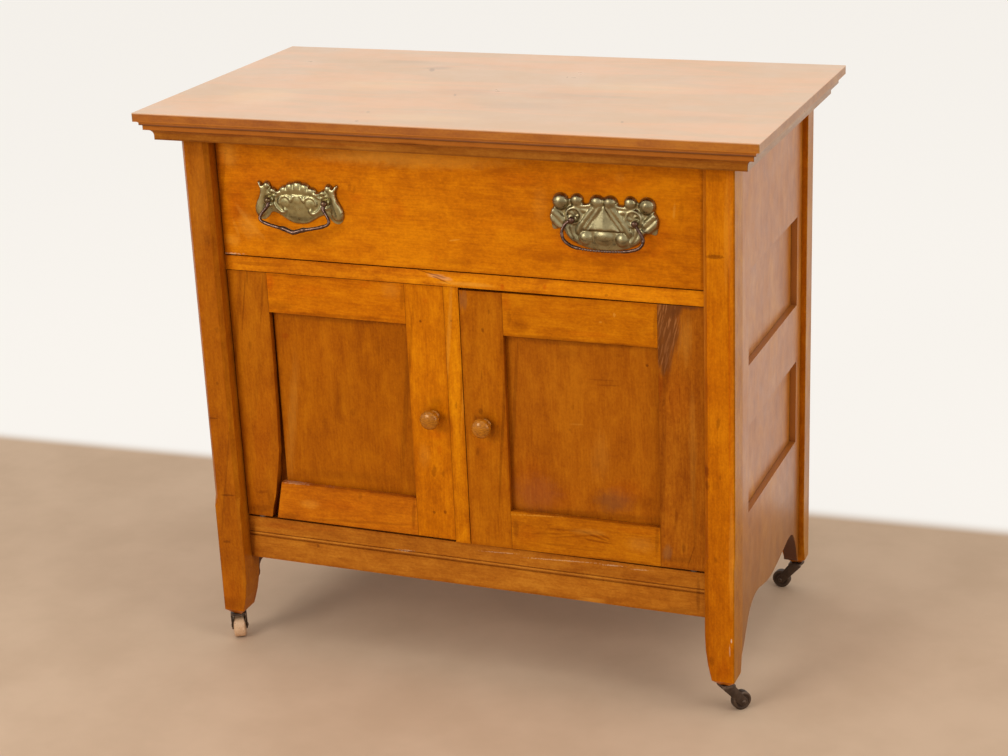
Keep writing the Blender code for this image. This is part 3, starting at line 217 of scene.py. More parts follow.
def floor():
    """A pale floor that turns white behind the washstand."""
    bm = bmesh.new()
    bmesh.ops.create_circle(bm, cap_ends=True, segments=96, radius=6)
    data = bpy.data.meshes.new("floor")
    bm.to_mesh(data)
    bm.free()
    shader = Shader("floor")
    mottle = shader.place.noise(5, 4, 0.6).band(0.3, 0.7)
    tone = shader.mix(mottle, srgb(196, 166, 136), srgb(207, 177, 147))
    # Painted shade: the floor darker to the right of the washstand.
    tone = tone.stain(shader.x.band(0.1, 1.0, 0.9), (0.9, 0.89, 0.88))
    behind = (shader.x * -0.045 + shader.y).band(0.41, 0.46)
    shader.finish(Base_Color=tone.paint(behind, srgb(246, 241, 232)), Roughness=0.75)
    glow = shader.add("Emission", {"Color": (1, 0.965, 0.915, 1), "Strength": 1})
    both = shader.add("MixShader", (shader.seen() * behind * 0.75, Value(shader, shader.surface.outputs[0]), glow))
    shader.put(shader.tree.nodes["Material Output"].inputs["Surface"], both)
    data.materials.append(shader.owner)
    placed("floor", data)


# Wood

def grain_vector(shader, along, seed):
    """Coordinates with the grain first, moved to another place in the pattern for each piece."""
    axes = [getattr(shader, axis) for axis in {"x": "xzy", "y": "yzx", "z": "zxy"}[along]]
    rng = random.Random(seed)
    return shader.add("CombineXYZ", axes).scaled((1, 1, 1), [rng.uniform(-40, 40) for _ in range(3)])


# Stains and wear, and some dark bands that are painted shade, in mm on the face that they are on: place across and
# up, two radii, turn in degrees, tone,
# strength, and how ragged: g along the grain, w broken up, s torn, f in fibres, n not at all, or all round
MARKS = {
    # On the drawer front, the two long dark bands along its top, under the moulding, are a painted shadow, and the
    # long dark line at its right end, by the post, is painted shade.
    "drawer_front": """
    -246 627 45.9 15 3 red .3, -105 662 90 9 3 pale .3, -284 591 12.4 25.4 -6 red .4, -201 552 53.3 10.2 0 dark .3,
    -270 566 13 17 30 pale .22, -257 559 3.4 15 43 pale .13, -275 579 3.2 18 35 pale .15,
    -287 562 2.4 13 17 pale .14, -251 572 2.4 10 29 pale .14, -294 546 11.2 7.7 4 pale .2,
    -130 622 2.4 6 -15 stain .45, -124 619 2.2 5 -19 stain .45, -116 629 1.8 3.4 -4 stain .4,
    -56 652 28 8.4 3 dark .22, -69 598 11.6 11 4 red .35, -121 609 10.5 7.4 3 red .4, 2 566 7.7 1 11 pale .35,
    -23 542 2.6 3.7 -3 red .4, -153 648 36.7 9.8 3 red .18, 189 569 68.3 15.5 0 red .46, 262 610 34 60 0 brown .35,
    189 553 54.5 7.2 0 dark .16, 246 594 21 30.3 -1 red .3, 171 645 70.3 11.7 -1 red .2,
    277 615 3.5 13.9 -5 brown .65 g, 269 618 1.6 9.3 -5 pale .25 g, 302 600 3.4 90 -1 dark .45 g,
    80 642 26.9 9.4 3 red .28, -30 660 110 11 2 pale .3, -290 655 14 18 0 pale .25, 206 652 5.9 6.9 -1 pale .08,
    110 615 9.7 23.7 -2 pale .1, 60 588 36.9 9.7 0 red .16, -298 649 5.5 10 -6 red .3,
    -295 529 13.9 1 1 white .4 w, -304 596 2.5 65.1 -11 dark .35 g, 1 539 25.2 4.3 0 dark .2,
    -87 675 186.3 2.4 0 dark .12, 183 670 104.1 3.6 0 dark .2""",
    "drawer_rail": """
    -19 519 16.2 3.1 -10 white .2 g, -32 523 19.9 1.2 -12 dark .75 g, -18 516 11 1.2 -20 dark .8 g,
    -55 518 38.6 3.3 0 brown .35 g, -203 520 130 12 1 brown 1, -203 520 110 12 1 red .14,
    -71 524 46.4 6.3 1 red .25 g, 12 513 32.8 2.7 0 pale .35 g, 59 513 2.8 4.3 -2 red .7,
    112 517 2.5 3.6 -2 red .6, 187 513 2.4 1.9 4 dark .5, -255 518 40.9 2.6 1 dark .3 g""",
    "left_door_hinge_stile": """
    -285 470 1.2 37.3 -9 dark .5 g, -278 501 1.6 13 -5 dark .45 g, -260 472 1.6 37.1 -8 dark .4 g,
    -283 213 9.8 2.4 10 stain .55, -275 368 3.7 41.2 -9 brown .45 g, -311 362 4.3 169.5 -10 dark .4 g,
    -277 285 12.8 84.7 -8 red .3 g, -294 189 26.4 5.7 7 dark .35, -282 411 2.8 6.7 -5 dark .3,
    -270 203 4.5 16.3 5 dark .35 g""",
    "left_door_top_rail": """
    -238 466 22 6.6 2 dark .4, -248 496 6.9 10.4 -5 red .7, -193 490 27.2 7.7 4 red .32,
    -180 476 32.3 6.5 2 brown .3 g, -85 498 11.9 11.4 4 pale .14, -70 489 3.4 17.8 -6 dark .4,
    -148 460 79.5 2.1 1 dark .3, -205 506 40.4 2.1 1 dark .3, -118 502 8 3.8 4 red .3""",
    "left_door_bottom_rail": """
    -144 224 2.4 6.1 -12 dark .35, -216 204 14.3 7 7 pale .2, -221 231 31 1.1 3 white .22 w,
    -165 232 22.2 1 3 white .18 w, -246 184 14.5 4.9 7 dark .45, -173 208 41.8 8.4 4 red .22,
    -111 206 30.2 5.6 4 brown .3 g, -72 207 2.7 22.1 -5 dark .45, -147 188 82.7 2.5 4 dark .35 g""",
    "left_door_lock_stile": """
    -48 462 1.8 1.8 5 dark .95 n, -44 214 2.2 2.2 7 dark .85 n, -29 216 2 2.7 -3 dark .85 n,
    -41 269 3.2 8.2 -9 dark .5, -29 267 1.9 4.8 -9 dark .5, -43 231 3.5 6.8 -3 brown .6,
    -53 289 8.1 16 -3 pale .12, -32 361 8 7.8 6 dark .35, -21 342 6.6 5.2 6 dark .25, -36 317 13.4 6.6 6 red .4,
    -23 453 5.2 51.2 -5 brown .25 g, -41 197 21.6 8.3 4 brown .35, -68 386 2.4 106.4 -7 dark .35 g,
    -40 489 3.9 3.8 5 red .3, -32 298 3.3 6.6 -3 red .4""",
    "left_door_meeting_strip": """
    -8 466 1.6 1.5 5 dark .7 n, -11 454 2.6 77.1 -6 pale .2 g, -2 275 7.9 81.1 -5 brown .4 g,
    0 373 1.6 52.3 -5 dark .35 g, -7 359 1.6 5.2 -5 dark .5, -3 209 9.3 27.4 -5 brown .35 g,
    -18 321 3.3 18.6 -6 red .35 g, 5 392 1.6 65.2 -6 pale .14 g""",
    "right_door_lock_stile": """
    32 458 2.1 3 -3 dark .6, 41 481 1.3 3.7 -3 dark .5, 25 354 2.9 4.5 -3 dark .6, 18 343 2.2 7.4 18 dark .45,
    38 332 3.9 9.1 -3 dark .25, 18 301 2.6 5.3 -3 dark .4, 55 485 3.8 22.4 -5 brown .3 g,
    35 240 15.7 62.4 -6 brown .4 g, 11 368 3.9 119.1 -6 brown .3 g, 53 346 2.1 132.5 -5 dark .5 g,
    9 493 5.1 12.5 -3 grey .3 g, 57 438 4.5 11.3 -2 dark .4, 28 311 10.5 7.8 6 red .3,
    28 401 1.6 7.6 -3 dark .35 g""",
    "right_door_top_rail": """
    79 467 12.6 8.4 5 stain .5, 66 476 2.8 9.9 -2 dark .3, 130 491 48.7 12.3 1 red .16, 179 480 2.4 1.2 5 pale .3,
    196 490 1.7 3.1 -1 pale .35, 63 494 6.3 8.6 -2 red .4, 166 464 29.1 3.7 1 red .3, 227 472 14.4 9.7 5 brown .25,
    245 482 2.9 21.8 -3 dark .4, 178 454 48.3 2 1 dark .35, 110 455 41.9 2.2 1 dark .3""",
    "right_door_bottom_rail": """
    168 202 19.9 1.5 -3 stain .75 g, 132 212 40 1.6 2 stain .6 g, 164 209 20 1.7 -16 stain .75 g,
    113 205 30 1.4 6 stain .45 g, 176 210 10.8 1.4 -23 stain .7 g, 140 205 28.5 1.4 10 stain .55 g,
    120 191 25.6 1.6 3 stain .45 g, 159 213 22.7 4 3 pale .16 g, 169 193 25.3 2.9 3 brown .45 g,
    152 189 32.9 1.3 2 stain .4 g, 222 204 17.4 10.6 3 pale .16, 222 222 32 4 2 red .3 g,
    79 199 18.4 13.4 7 red .3, 64 206 4 13.4 -2 dark .4, 184 179 62.6 2.7 3 dark .3 g, 90 226 28 .9 4 pale .35 w,
    243 213 2.5 20.9 -2 dark .4""",
    "right_door_hinge_stile": """
    259 484 15 38 6 torn .92 s, 254 446 9 24 4 torn .8 s, 266 505 13 12 3 torn .8 s, 250 450 2.4 17 -1 stain .5 g,
    260 486 14.5 36 6 sliver .85 f, 254 448 9 22 3 sliver .75 f, 284 510 17 7 2 torn .85 s,
    280 500 18 15 2 brown .7 s, 256 424 4.6 32 -1 stain .5 g, 257 462 9 34 4 torn .4 s,
    281 467 8.3 29 -2 pale .18 g, 250 410 3.6 14.8 -1 red .5 g, 272 307 17 50.8 -1 brown .4 g,
    252 304 3.7 90 -2 stain .45 g, 271 393 19.2 32.1 -1 red .28 g, 256 198 6.1 12 -10 grey .4 s,
    285 198 .9 14.8 -17 dark .55, 276 207 2.5 6.5 -1 dark .5 g, 267 242 2.4 15.6 -4 stain .5 g,
    288 333 4.8 75.7 0 pale .12 g, 254 389 1.9 6.3 -10 dark .4, 290 271 2.4 77.1 0 dark .3 g,
    269 191 22.1 4 3 dark .3""",
    # On the door panels, the long dark bands along their edges are painted shade in the recess.
    "left_door_panel": """
    -236 425 5.6 4 5 red .5, -235 316 7 83.4 -8 pale .15 g, -170 343 6.9 29.8 -7 stain .28 g,
    -190 314 4.2 8.1 -5 stain .3, -150 332 4.1 5.3 -4 stain .3, -185 414 35.7 52.9 -5 red .12 g,
    -110 420 4 11.7 -4 stain .25, -76 359 4 107.4 -7 dark .35 g, -164 246 82.4 6.9 3 dark .2,
    -162 453 93.1 5.2 1 dark .35, -159 357 27.2 67.7 -7 brown .16 g, -98 304 10.8 40.7 -7 red .18 g""",
    # On this panel too, the long dark bands along its edges are painted shade in the recess.
    "right_door_panel": """
    180 251 22.7 13 7 stain .55, 201 266 25 18.1 7 red .45, 188 254 25 16 7 grey .26, 89 252 32 24 7 rose .34,
    223 256 17.4 10.3 7 stain .4, 232 429 1.9 2 -1 dark .85 n, 177 406 17.1 1 2 stain .45,
    184 400 15.9 1.1 3 stain .5, 191 404 12.3 5 6 brown .3, 131 434 17.4 7.5 5 stain .3,
    85 272 23.3 28.9 -2 red .35 g, 64 347 2.8 105.3 -5 dark .4 g, 153 450 84.8 5 2 dark .35,
    160 233 87.4 4.6 3 dark .3, 246 345 1.4 110 0 dark .4 g, 143 347 10 1.2 3 pale .14,
    107 249 38.6 18.5 7 red .3 g, 139 368 2.3 3.8 -2 stain .35, 135 339 1.8 1.8 -2 dark .35 n,
    172 308 12.5 31.1 -4 pale .1 g, 197 438 6 2.5 -5 stain .35""",
    "bottom_rail": """
    120 170 43.5 .7 3 white .26 w, 186 172 12.6 .8 3 white .34 w, 41 170 21 .7 3 white .24 w,
    -87 156 11 .9 3 white .35 w, 221 171 12.5 .7 3 white .26 w, -66 168 172.6 8.4 3 stain .2 g,
    171 162 100.2 9.5 3 stain .3 g, 246 158 42 9.4 3 brown .3 g, -209 147 2.3 3.1 -5 dark .7,
    -175 187 83.1 2.8 3 dark .4 g, 68 188 77.5 2.2 3 dark .35 g, 66 120 78.3 2.8 4 dark .3 g,
    270 125 22.3 4 4 dark .3, -233 169 56.7 4.3 3 red .3 g, -303 143 3.7 28.9 -5 dark .5,
    293 148 2.5 23.8 0 dark .45, 195 144 10.1 2.7 4 brown .4 g, 157 122 17.9 4.1 4 pale .2 g""",
    "post_front_left": """
    -334 316 8.6 1.2 3 dark .7, -322 212 11.7 1.3 5 dark .7, -322 364 2.3 2.7 -6 dark .5, -330 146 6 2 7 dark .6,
    -342 265 1.7 12.8 -10 dark .35 g, -315 435 3.4 4 -6 dark .3, -346 60 30.2 50.5 -6 red .42,
    -328 149 29.7 87.3 -6 brown .22 g, -316 550 4.2 7.7 -6 dark .35, -324 600 16 80 -6 pale .08,
    -331 57 21.1 10.3 8 dark .35, -325 659 19.2 6.2 3 dark .25, -301 546 2.4 14.3 -10 grey .4 g,
    -323 233 1.7 86.7 -10 dark .35 g, -350 202 11.9 7.1 7 red .3, -337 472 12.8 15.8 -6 red .18 g""",
    "post_front_right": """
    321 574 11 2.6 2 dark .8, 341.6 450 .8 260 0 dark .5 g, 337.2 470 1 240 0 red .5 g, 321 577 6.8 3.4 4 brown .4,
    324 377 2.5 7.4 -8 dark .55, 309.5 316 4.2 8.5 0 stain .9, 310 299 3.4 6.5 0 dark .6,
    321 300 4.8 5 0 stain .35, 326 311 1.9 3 0 dark .4, 339 104 .9 2.8 0 white .7, 337 91 .8 7.9 0 white .3,
    322 60 40 120 0 brown .62, 315 73 2.7 6.7 0 dark .5, 330 65 9.9 16 0 red .3, 320 207 2.9 3.8 0 dark .35,
    327 156 3.7 3.9 0 stain .3, 341 40 7.4 6.7 9 pale .45, 306 523 3.5 143.2 0 pale .14 g,
    335 606 4.5 68.7 0 pale .14 g, 315 453 13.9 72.2 0 red .14 g, 309 368 7.1 24.6 0 dark .2 g,
    322 232 16.8 77.1 0 brown .22 g, 339 209 2.9 77.4 0 pale .2 g, 302 392 1.7 61.4 0 dark .45 g,
    319 663 17.9 4.5 3 dark .3, 336 525 1.1 46.8 0 dark .35 g""",
    "moulding_front": """
    -28 690 20.9 2.8 0 stain .85 g, -8 685 14.7 3 0 dark .4 g, -113 684 50.3 1.7 0 red .4 g,
    201 686 68.1 1.8 0 brown .35 g, 21 690 36.2 1.4 0 pale .3 g, -256 689 65.5 1.7 0 red .3 g""",
    "top_board": """
    -123 92 3.9 10.3 23 smoke .9, -120 105 18.3 11.7 10 smoke .45 g, -175 135 36.6 13.4 0 smoke .25 g,
    -24 -24 51 20.6 2 smoke .3 g, 104 -23 73.5 22.1 2 smoke .3 g, -35 -43 1.8 6.9 23 smoke .7,
    -107 -151 3.6 7.6 25 blush .6, -100 -149 2.4 5.4 25 smoke .5, 207 -141 1.8 5.9 18 smoke .6,
    -151 -6 75.8 30.1 10 haze .25 g, 64 -85 72.7 21.3 2 smoke .22 g, 171 35 85.7 28.2 1 haze .25 g,
    268 42 71.8 33.1 1 blush .25 g, -271 -93 50.5 46.7 11 haze .3 g, -93 -195 2.3 4.7 25 smoke .6,
    -58 129 81.1 19.3 0 blush .25 g, 286 -105 45.2 19.7 2 smoke .18 g, -27 -166 72.4 20.6 3 haze .25 g""",
}

MULTIPLIED = {"red": (0.9, 0.6, 0.45), "brown": (0.8, 0.74, 0.8), "stain": (0.55, 0.42, 0.4),
              "dark": (0.42, 0.33, 0.4), "smoke": (0.66, 0.64, 0.66), "blush": (0.97, 0.86, 0.82)}
PAINTED = {"pale": (238, 168, 62), "white": (240, 216, 178), "grey": (122, 88, 58), "torn": (110, 60, 28),
           "haze": (246, 206, 156), "sliver": (164, 104, 58), "rose": (158, 92, 50)}
TEAR_LEAN = math.radians(-13)
SMALL_MARK, BROAD_MARK = 4.5, 6  # radii in mm
ENDLESS = 1e7


def marked(shader, colour, piece, vector):
    """Lays the marks of wear of one piece over its colour."""
    leaning = shader.add("Mapping", {"Vector": vector, "Rotation": (0, 0, TEAR_LEAN)})
    slivers = leaning.scaled((40, 430, 430), (7, 3, 5)).noise(1, 3, 0.6).band(0.5, 0.58)
    torn = leaning.noise((22, 260, 260), 4, 0.6)
    broken = shader.place.noise(520, 3, 0.6)
    ragged = {kind: (pattern - 0.5) * (2 * amount) for kind, pattern, amount in (
        ("r", shader.place.noise(120, 5, 0.65), 0.62), ("small", broken, 0.62), ("w", broken, 1.8),
        ("g", vector.noise((16, 500, 500), 4, 0.6), 0.9), ("s", torn, 0.55), ("f", torn, 0.55))}
    for row in MARKS[piece].split(","):
        *numbers, tone, strength, kind = (row + " r").split()[:8]  # r, all round, where none is given
        a, b, across, up, turn = map(float, numbers)
        turn = math.radians(turn)
        where, size, about = (a, 0, b), (across, ENDLESS, up), (0, -turn, 0)
        if piece == "top_board":
            where, size, about = (a, b, 0), (across, up, ENDLESS), (0, 0, turn)
        spot = shader.add("Mapping", {"Vector": shader.place, "Location": mm(*where), "Rotation": about,
                                      "Scale": mm(*size)}, vector_type="TEXTURE")
        distance = shader.add("VectorMath", (spot,), "Value", operation="LENGTH")
        if kind != "n":
            distance += ragged["small" if kind == "r" and min(across, up) < SMALL_MARK else kind]
        soft = min(across, up) > BROAD_MARK and kind not in "sf"
        mask = distance.fade(*((0.25, 1.35) if soft else (0.55, 1.2)), float(strength))
        if kind == "f":
            mask *= slivers
        if tone in MULTIPLIED:
            colour = colour.stain(mask, MULTIPLIED[tone])
        else:
            colour = colour.paint(mask, srgb(*PAINTED[tone]))
    return colour


def shades(red, green, blue):
    """The light, middle and dark tones of a wood."""
    return (srgb(min(red * 1.07 + 6, 255), green * 1.13 + 6, blue * 1.3 + 2), srgb(red, green, blue),
            srgb(red * 0.87, green * 0.8, blue * 0.7))


def wood_colour(shader, vector, light, middle, dark, contrast, figure, flecks):
    """The colour, and the height of the grain, of finished wood."""
    drift = vector.noise((2.2, 9, 9), 2)
    bent = shader.add("CombineXYZ", (0, drift, drift)).scaled((0, 0.02, 0.02), vector)
    fine = bent.noise((30, 420, 420), 5, 0.65)
    bands, speckle = bent.noise((2, 60, 60), 3, 0.5), vector.noise((300, 380, 380), 3, 0.6)
    curl = vector.noise((60, 18, 18), 3, 0.6, 0.8)
    tone = vector.noise((26, 52, 52), 7, 0.68, 0.3) * 0.66 + vector.noise((4, 9, 9), 2) * 0.34
    for pattern, share in ((bands, 0.16 * contrast), (fine, 0.36 * contrast), (speckle, 0.34 * contrast),
                           (curl, 0.16 * figure)):
        tone += (pattern - 0.5) * share
    ramp = shader.add("ValToRGB", {"Fac": tone}, "Color")
    stops = ramp.socket.node.color_ramp.elements
    stops[0].position, stops[0].color = 0.33, dark
    stops[1].position, stops[1].color = 0.67, light
    stops.new(0.5).color = middle
    pores = bent.noise((50, 800, 800), 2, 0.5).band(0.64, 0.74, flecks)
    specks = vector.noise((120, 260, 260), 2, 0.5).band(0.7, 0.8, 0.7 * flecks)
    return ramp.stain(pores, (0.6, 0.46, 0.46)).stain(specks, (0.55, 0.4, 0.4)), fine


def rim_dirt_and_shade(shader, colour, ragged, name):
    """Darkens the borders of a front piece, unevenly: dirt along its joints, and on a recessed panel painted shade
    at its edges too.
    """
    low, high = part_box(name)
    edge = (shader.x - low.x).least(high.x - shader.x)
    edge = edge.least(shader.z - low.z).least(high.z - shader.z) + ragged * 0.008
    # Dirt along the borders, and on a panel painted shade in its recess.
    return colour.stain(edge.fade(0.0035, 0.0095, 0.35 if "panel" in name else 0.6), (0.66, 0.54, 0.5))


def wood(name, along, light, middle, dark, seed, contrast=1.0, figure=0.5, flecks=0.35, rough=0.36,
         grime_and_shade=0.75, coat=0.0, specular=0.3, tint=(1.0, 0.62, 0.12, 1), marks=None, extra=None, rim=None):
    """Wood under old shellac: grain, flecks, grime and painted shade gathered in the corners, and worn, scratched
    gloss.
    """
    shader = Shader(name)
    vector = grain_vector(shader, along, seed)
    colour, fine = wood_colour(shader, vector, light, middle, dark, contrast, figure, flecks)
    ragged = shader.place.noise(60, 4, 0.6)
    if extra:
        colour = extra(shader, colour)
    if rim:
        colour = rim_dirt_and_shade(shader, colour, ragged, rim)
    if marks:
        colour = marked(shader, colour, marks, vector)
    # Grime and painted shade: darker where ambient occlusion finds a corner or hollow near other surfaces.
    near = ragged * 0.35 + (shader.openness(0.014, 6) - 0.17)
    colour = colour.stain(near.fade(0.3, 0.92, grime_and_shade), (0.4, 0.3, 0.4))
    gloss, rub = shader.place.noise(9, 5, 0.65), shader.place.noise(60)
    roughness = (gloss - 0.5) * 0.3 + (rub - 0.5) * 0.12 + rough
    return shader.finish(Base_Color=colour, Roughness=roughness, Coat_Weight=coat, Coat_Roughness=0.16,
                         Normal=shader.bump((fine + ragged) * 0.5, 0.0004, 0.3), IOR=1.5, Coat_IOR=1.5,
                         Specular_IOR_Level=specular, Specular_Tint=tint)


def dress(material, *names, bevel=0.0006):
    """Gives CAD nodes a material, and softens their edges."""
    for name in names:
        node = NODES[name]
        node.data.materials.clear()
        node.data.materials.append(material)
        if bevel:
            soft = node.modifiers.new("worn edges", "BEVEL")
            soft.width, soft.segments, soft.limit_method = bevel, 2, "ANGLE"
            soft.angle_limit = math.radians(35)
            soft.harden_normals = True


# The bands below part one face from the next, and one height from another, in m

def top_face(shader, colour):
    """The worn, hazy upper face of the top, its pale tone partly a painted sheen. Its edges keep the colour of the
    front, with a painted reflection along the front edge, painted shade over the moulding and a painted reflection
    on its ends.
    """
    x, z = shader.x, shader.z
    haze = shader.place.noise((4.5, 20, 1), 5, 0.6, 0.6).band(0.36, 0.62)
    # Paler upper face: worn finish, and in part a painted sheen.
    pale = colour.paint(0.88, shader.mix(haze, srgb(236, 186, 144), srgb(223, 185, 148)))
    # A painted reflection: a lighter band along the front edge.
    colour = colour.paint(z.band(0.6992, 0.7, 0.75) * z.fade(0.7022, 0.7042), srgb(188, 110, 8))
    # Painted shade: the lowest strip of the front edge, over the moulding, darker.
    colour = colour.paint(z.fade(0.6982, 0.6992, 0.8), srgb(96, 46, 14))
    # A painted reflection: the ends of the top tinted greyer.
    colour = colour.stain(abs(x).band(0.379, 0.38), (0.86, 1.1, 2.6))
    return colour.paint(z.band(0.7112, 0.7128), pale)


def moulding_lines(shader, colour):
    """Dirt and painted shade in the two quirks of the moulding, painted shade along its foot, and a painted
    highlight on the fillet between them.
    """
    z = shader.z
    # A painted highlight on the fillet.
    colour = colour.paint(z.band(0.6912, 0.6922, 0.7) * z.fade(0.6958, 0.6964), srgb(176, 98, 36))
    # Dirt and painted shade in the quirks, and painted shade along the foot.
    for low, high, soft, strength in ((0.6966, 0.699, 0.0005, 0.75), (0.6904, 0.6914, 0.0005, 0.6),
                                      (0.67, 0.6794, 0.0008, 0.6)):
        line = z.band(low - soft, low + soft, strength) * z.fade(high - soft, high + soft)
        colour = colour.stain(line, (0.5, 0.4, 0.42))
    return colour


def post_faces(low_y, high_y, back):
    """Gives a post's outer face the pinker tone of the side, a painted reflection; a front post's inner corner is
    painted lighter on the left post and darker on the right one, painted light and shade; a back post's hidden
    faces are darkened, unfinished wood and painted shade.
    """
    def extra(shader, colour):
        out = abs(shader.x)
        # A painted reflection: the outer face tinted like the side.
        colour = colour.stain(out.band(0.3408, 0.342), (0.72, 0.92, 1.6))
        if not back:
            # Painted light and shade on the inner corner: lighter on the left post, darker on the right one.
            tint = shader.mix(shader.x.fade(-0.01, 0.01), (0.74, 0.7, 0.8, 1), (1.0, 1.08, 1.5, 1))
            return colour.paint(out.fade(0.3105, 0.3122), tint, "MULTIPLY")
        # Unfinished wood and painted shade on the hidden faces of a back post.
        forward = shader.y.fade(low_y + 0.0004, low_y + 0.0012) * out.fade(0.334, 0.3352)
        behind = shader.y.band(high_y - 0.0012, high_y - 0.0004)
        return colour.stain(out.fade(0.3069, 0.3077).most(forward.most(behind)), (0.22, 0.22, 0.9))
    return extra


def side_faces(shader, colour):
    """The side: darker towards the floor, a painted shade, and dull brown on its inner faces, darker still below
    0.15 m, unfinished wood and painted shade.
    """
    within = abs(shader.x).fade(0.3346, 0.3352)
    # Painted shade: darker towards the floor.
    colour = colour.stain(shader.z.fade(0.06, 0.27, 0.9), (0.58, 0.57, 0.48)).paint(within, srgb(170, 102, 36))
    # Unfinished wood and painted shade on the inner faces below the arch.
    return colour.stain(within * shader.z.fade(0.15, 0.16), (0.25, 0.2, 0.3))


TONES = {
    "moulding_front": ("x", 154, 88, 24), "drawer_front": ("x", 203, 112, 3),
    "drawer_rail": ("x", 219, 127, 8), "bottom_rail": ("x", 175, 101, 24),
    "post_front_left": ("z", 163, 85, 6), "post_front_right": ("z", 190, 102, 3),
    "post_back_left": ("z", 176, 92, 6), "post_back_right": ("z", 186, 100, 8),
    "left_door_hinge_stile": ("z", 167, 88, 6), "left_door_top_rail": ("x", 196, 105, 2),
    "left_door_panel": ("z", 168, 88, 4), "left_door_bottom_rail": ("x", 190, 101, 8),
    "left_door_lock_stile": ("z", 199, 109, 2), "left_door_meeting_strip": ("z", 208, 119, 3),
    "right_door_lock_stile": ("z", 171, 90, 5), "right_door_top_rail": ("x", 188, 102, 3),
    "right_door_panel": ("z", 165, 86, 8), "right_door_bottom_rail": ("x", 181, 99, 6),
    "right_door_hinge_stile": ("z", 166, 88, 12),
}


def woods():
    """Dresses all the wood that the photo shows, and the insides and the back in raw wood."""
    raw = [srgb(*tone) for tone in ((200, 160, 112), (178, 136, 88), (148, 106, 64))]
    sheen = {"coat": 0.1, "specular": 0.5, "tint": (1, 1, 1, 1)}

    dress(wood("wood_top", "x", *shades(160, 88, 14), seed=3, contrast=0.8, figure=0.3, flecks=0.12, rough=0.34,
               grime_and_shade=0.5, coat=0.05, specular=0.5, tint=(1, 0.85, 0.7, 1), marks="top_board",
               extra=top_face), "top_board", bevel=0.0012)
    # The moulding's ends take a greyer tone than its front, a painted reflection.
    for i, name in enumerate(("moulding_left", "moulding_right")):
        dress(wood(f"wood_{name}", "y", *shades(148, 102, 54), seed=14 + i, **sheen), name, bevel=0.0004)
    for i, (name, (along, *tone)) in enumerate(TONES.items()):
        low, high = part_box(name)
        post, panel, torn = name.startswith("post"), "panel" in name, name == "right_door_hinge_stile"
        extra = post_faces(low.y, high.y, "back" in name) if post else None
        extra = moulding_lines if name == "moulding_front" else extra
        dress(wood(f"wood_{name}", along, *shades(*tone), seed=21 + i, marks=name if name in MARKS else None,
                   contrast=1.3 if torn else 0.9 if panel else 1.0, figure=0.9 if along == "x" else 0.4,
                   flecks=0.7 if torn or name == "bottom_rail" else 0.35, extra=extra,
                   grime_and_shade=0.5 if panel else 0.75, rim=None if name.startswith(("post", "moulding")) else name),
              name, bevel=0.0006 if post else 0.0003)
    for i, name in enumerate(f"side_{part}_{side}" for part in ("frame", "panel_upper", "panel_lower")
                             for side in ("left", "right")):
        dress(wood(f"wood_{name}", "z", *shades(166, 98, 20), seed=71 + i, contrast=0.3, figure=0.15,
                   flecks=0.15, grime_and_shade=0.5, extra=side_faces if "frame" in name else None, **sheen), name)
    dress(wood("wood_inside_x", "x", *raw, seed=91, rough=0.7), "top_back_rail", "cupboard_floor",
          "door_stop", "drawer_back", "drawer_bottom")
    dress(wood("wood_inside_y", "y", *raw, seed=92, rough=0.7), "drawer_runner_left",
          "drawer_runner_right", "drawer_side_left", "drawer_side_right")
    dress(wood("wood_back", "z", *raw, seed=93, contrast=1.2, rough=0.75), "back_panel")


# Mesh pieces

def quads(levels, count):
    """The faces between levels of so many vertices each, all the way round."""
    return [(a, b, b + count, a + count) for start in range(0, (levels - 1) * count, count)
            for a, b in ((start + i, start + (i + 1) % count) for i in range(count))]


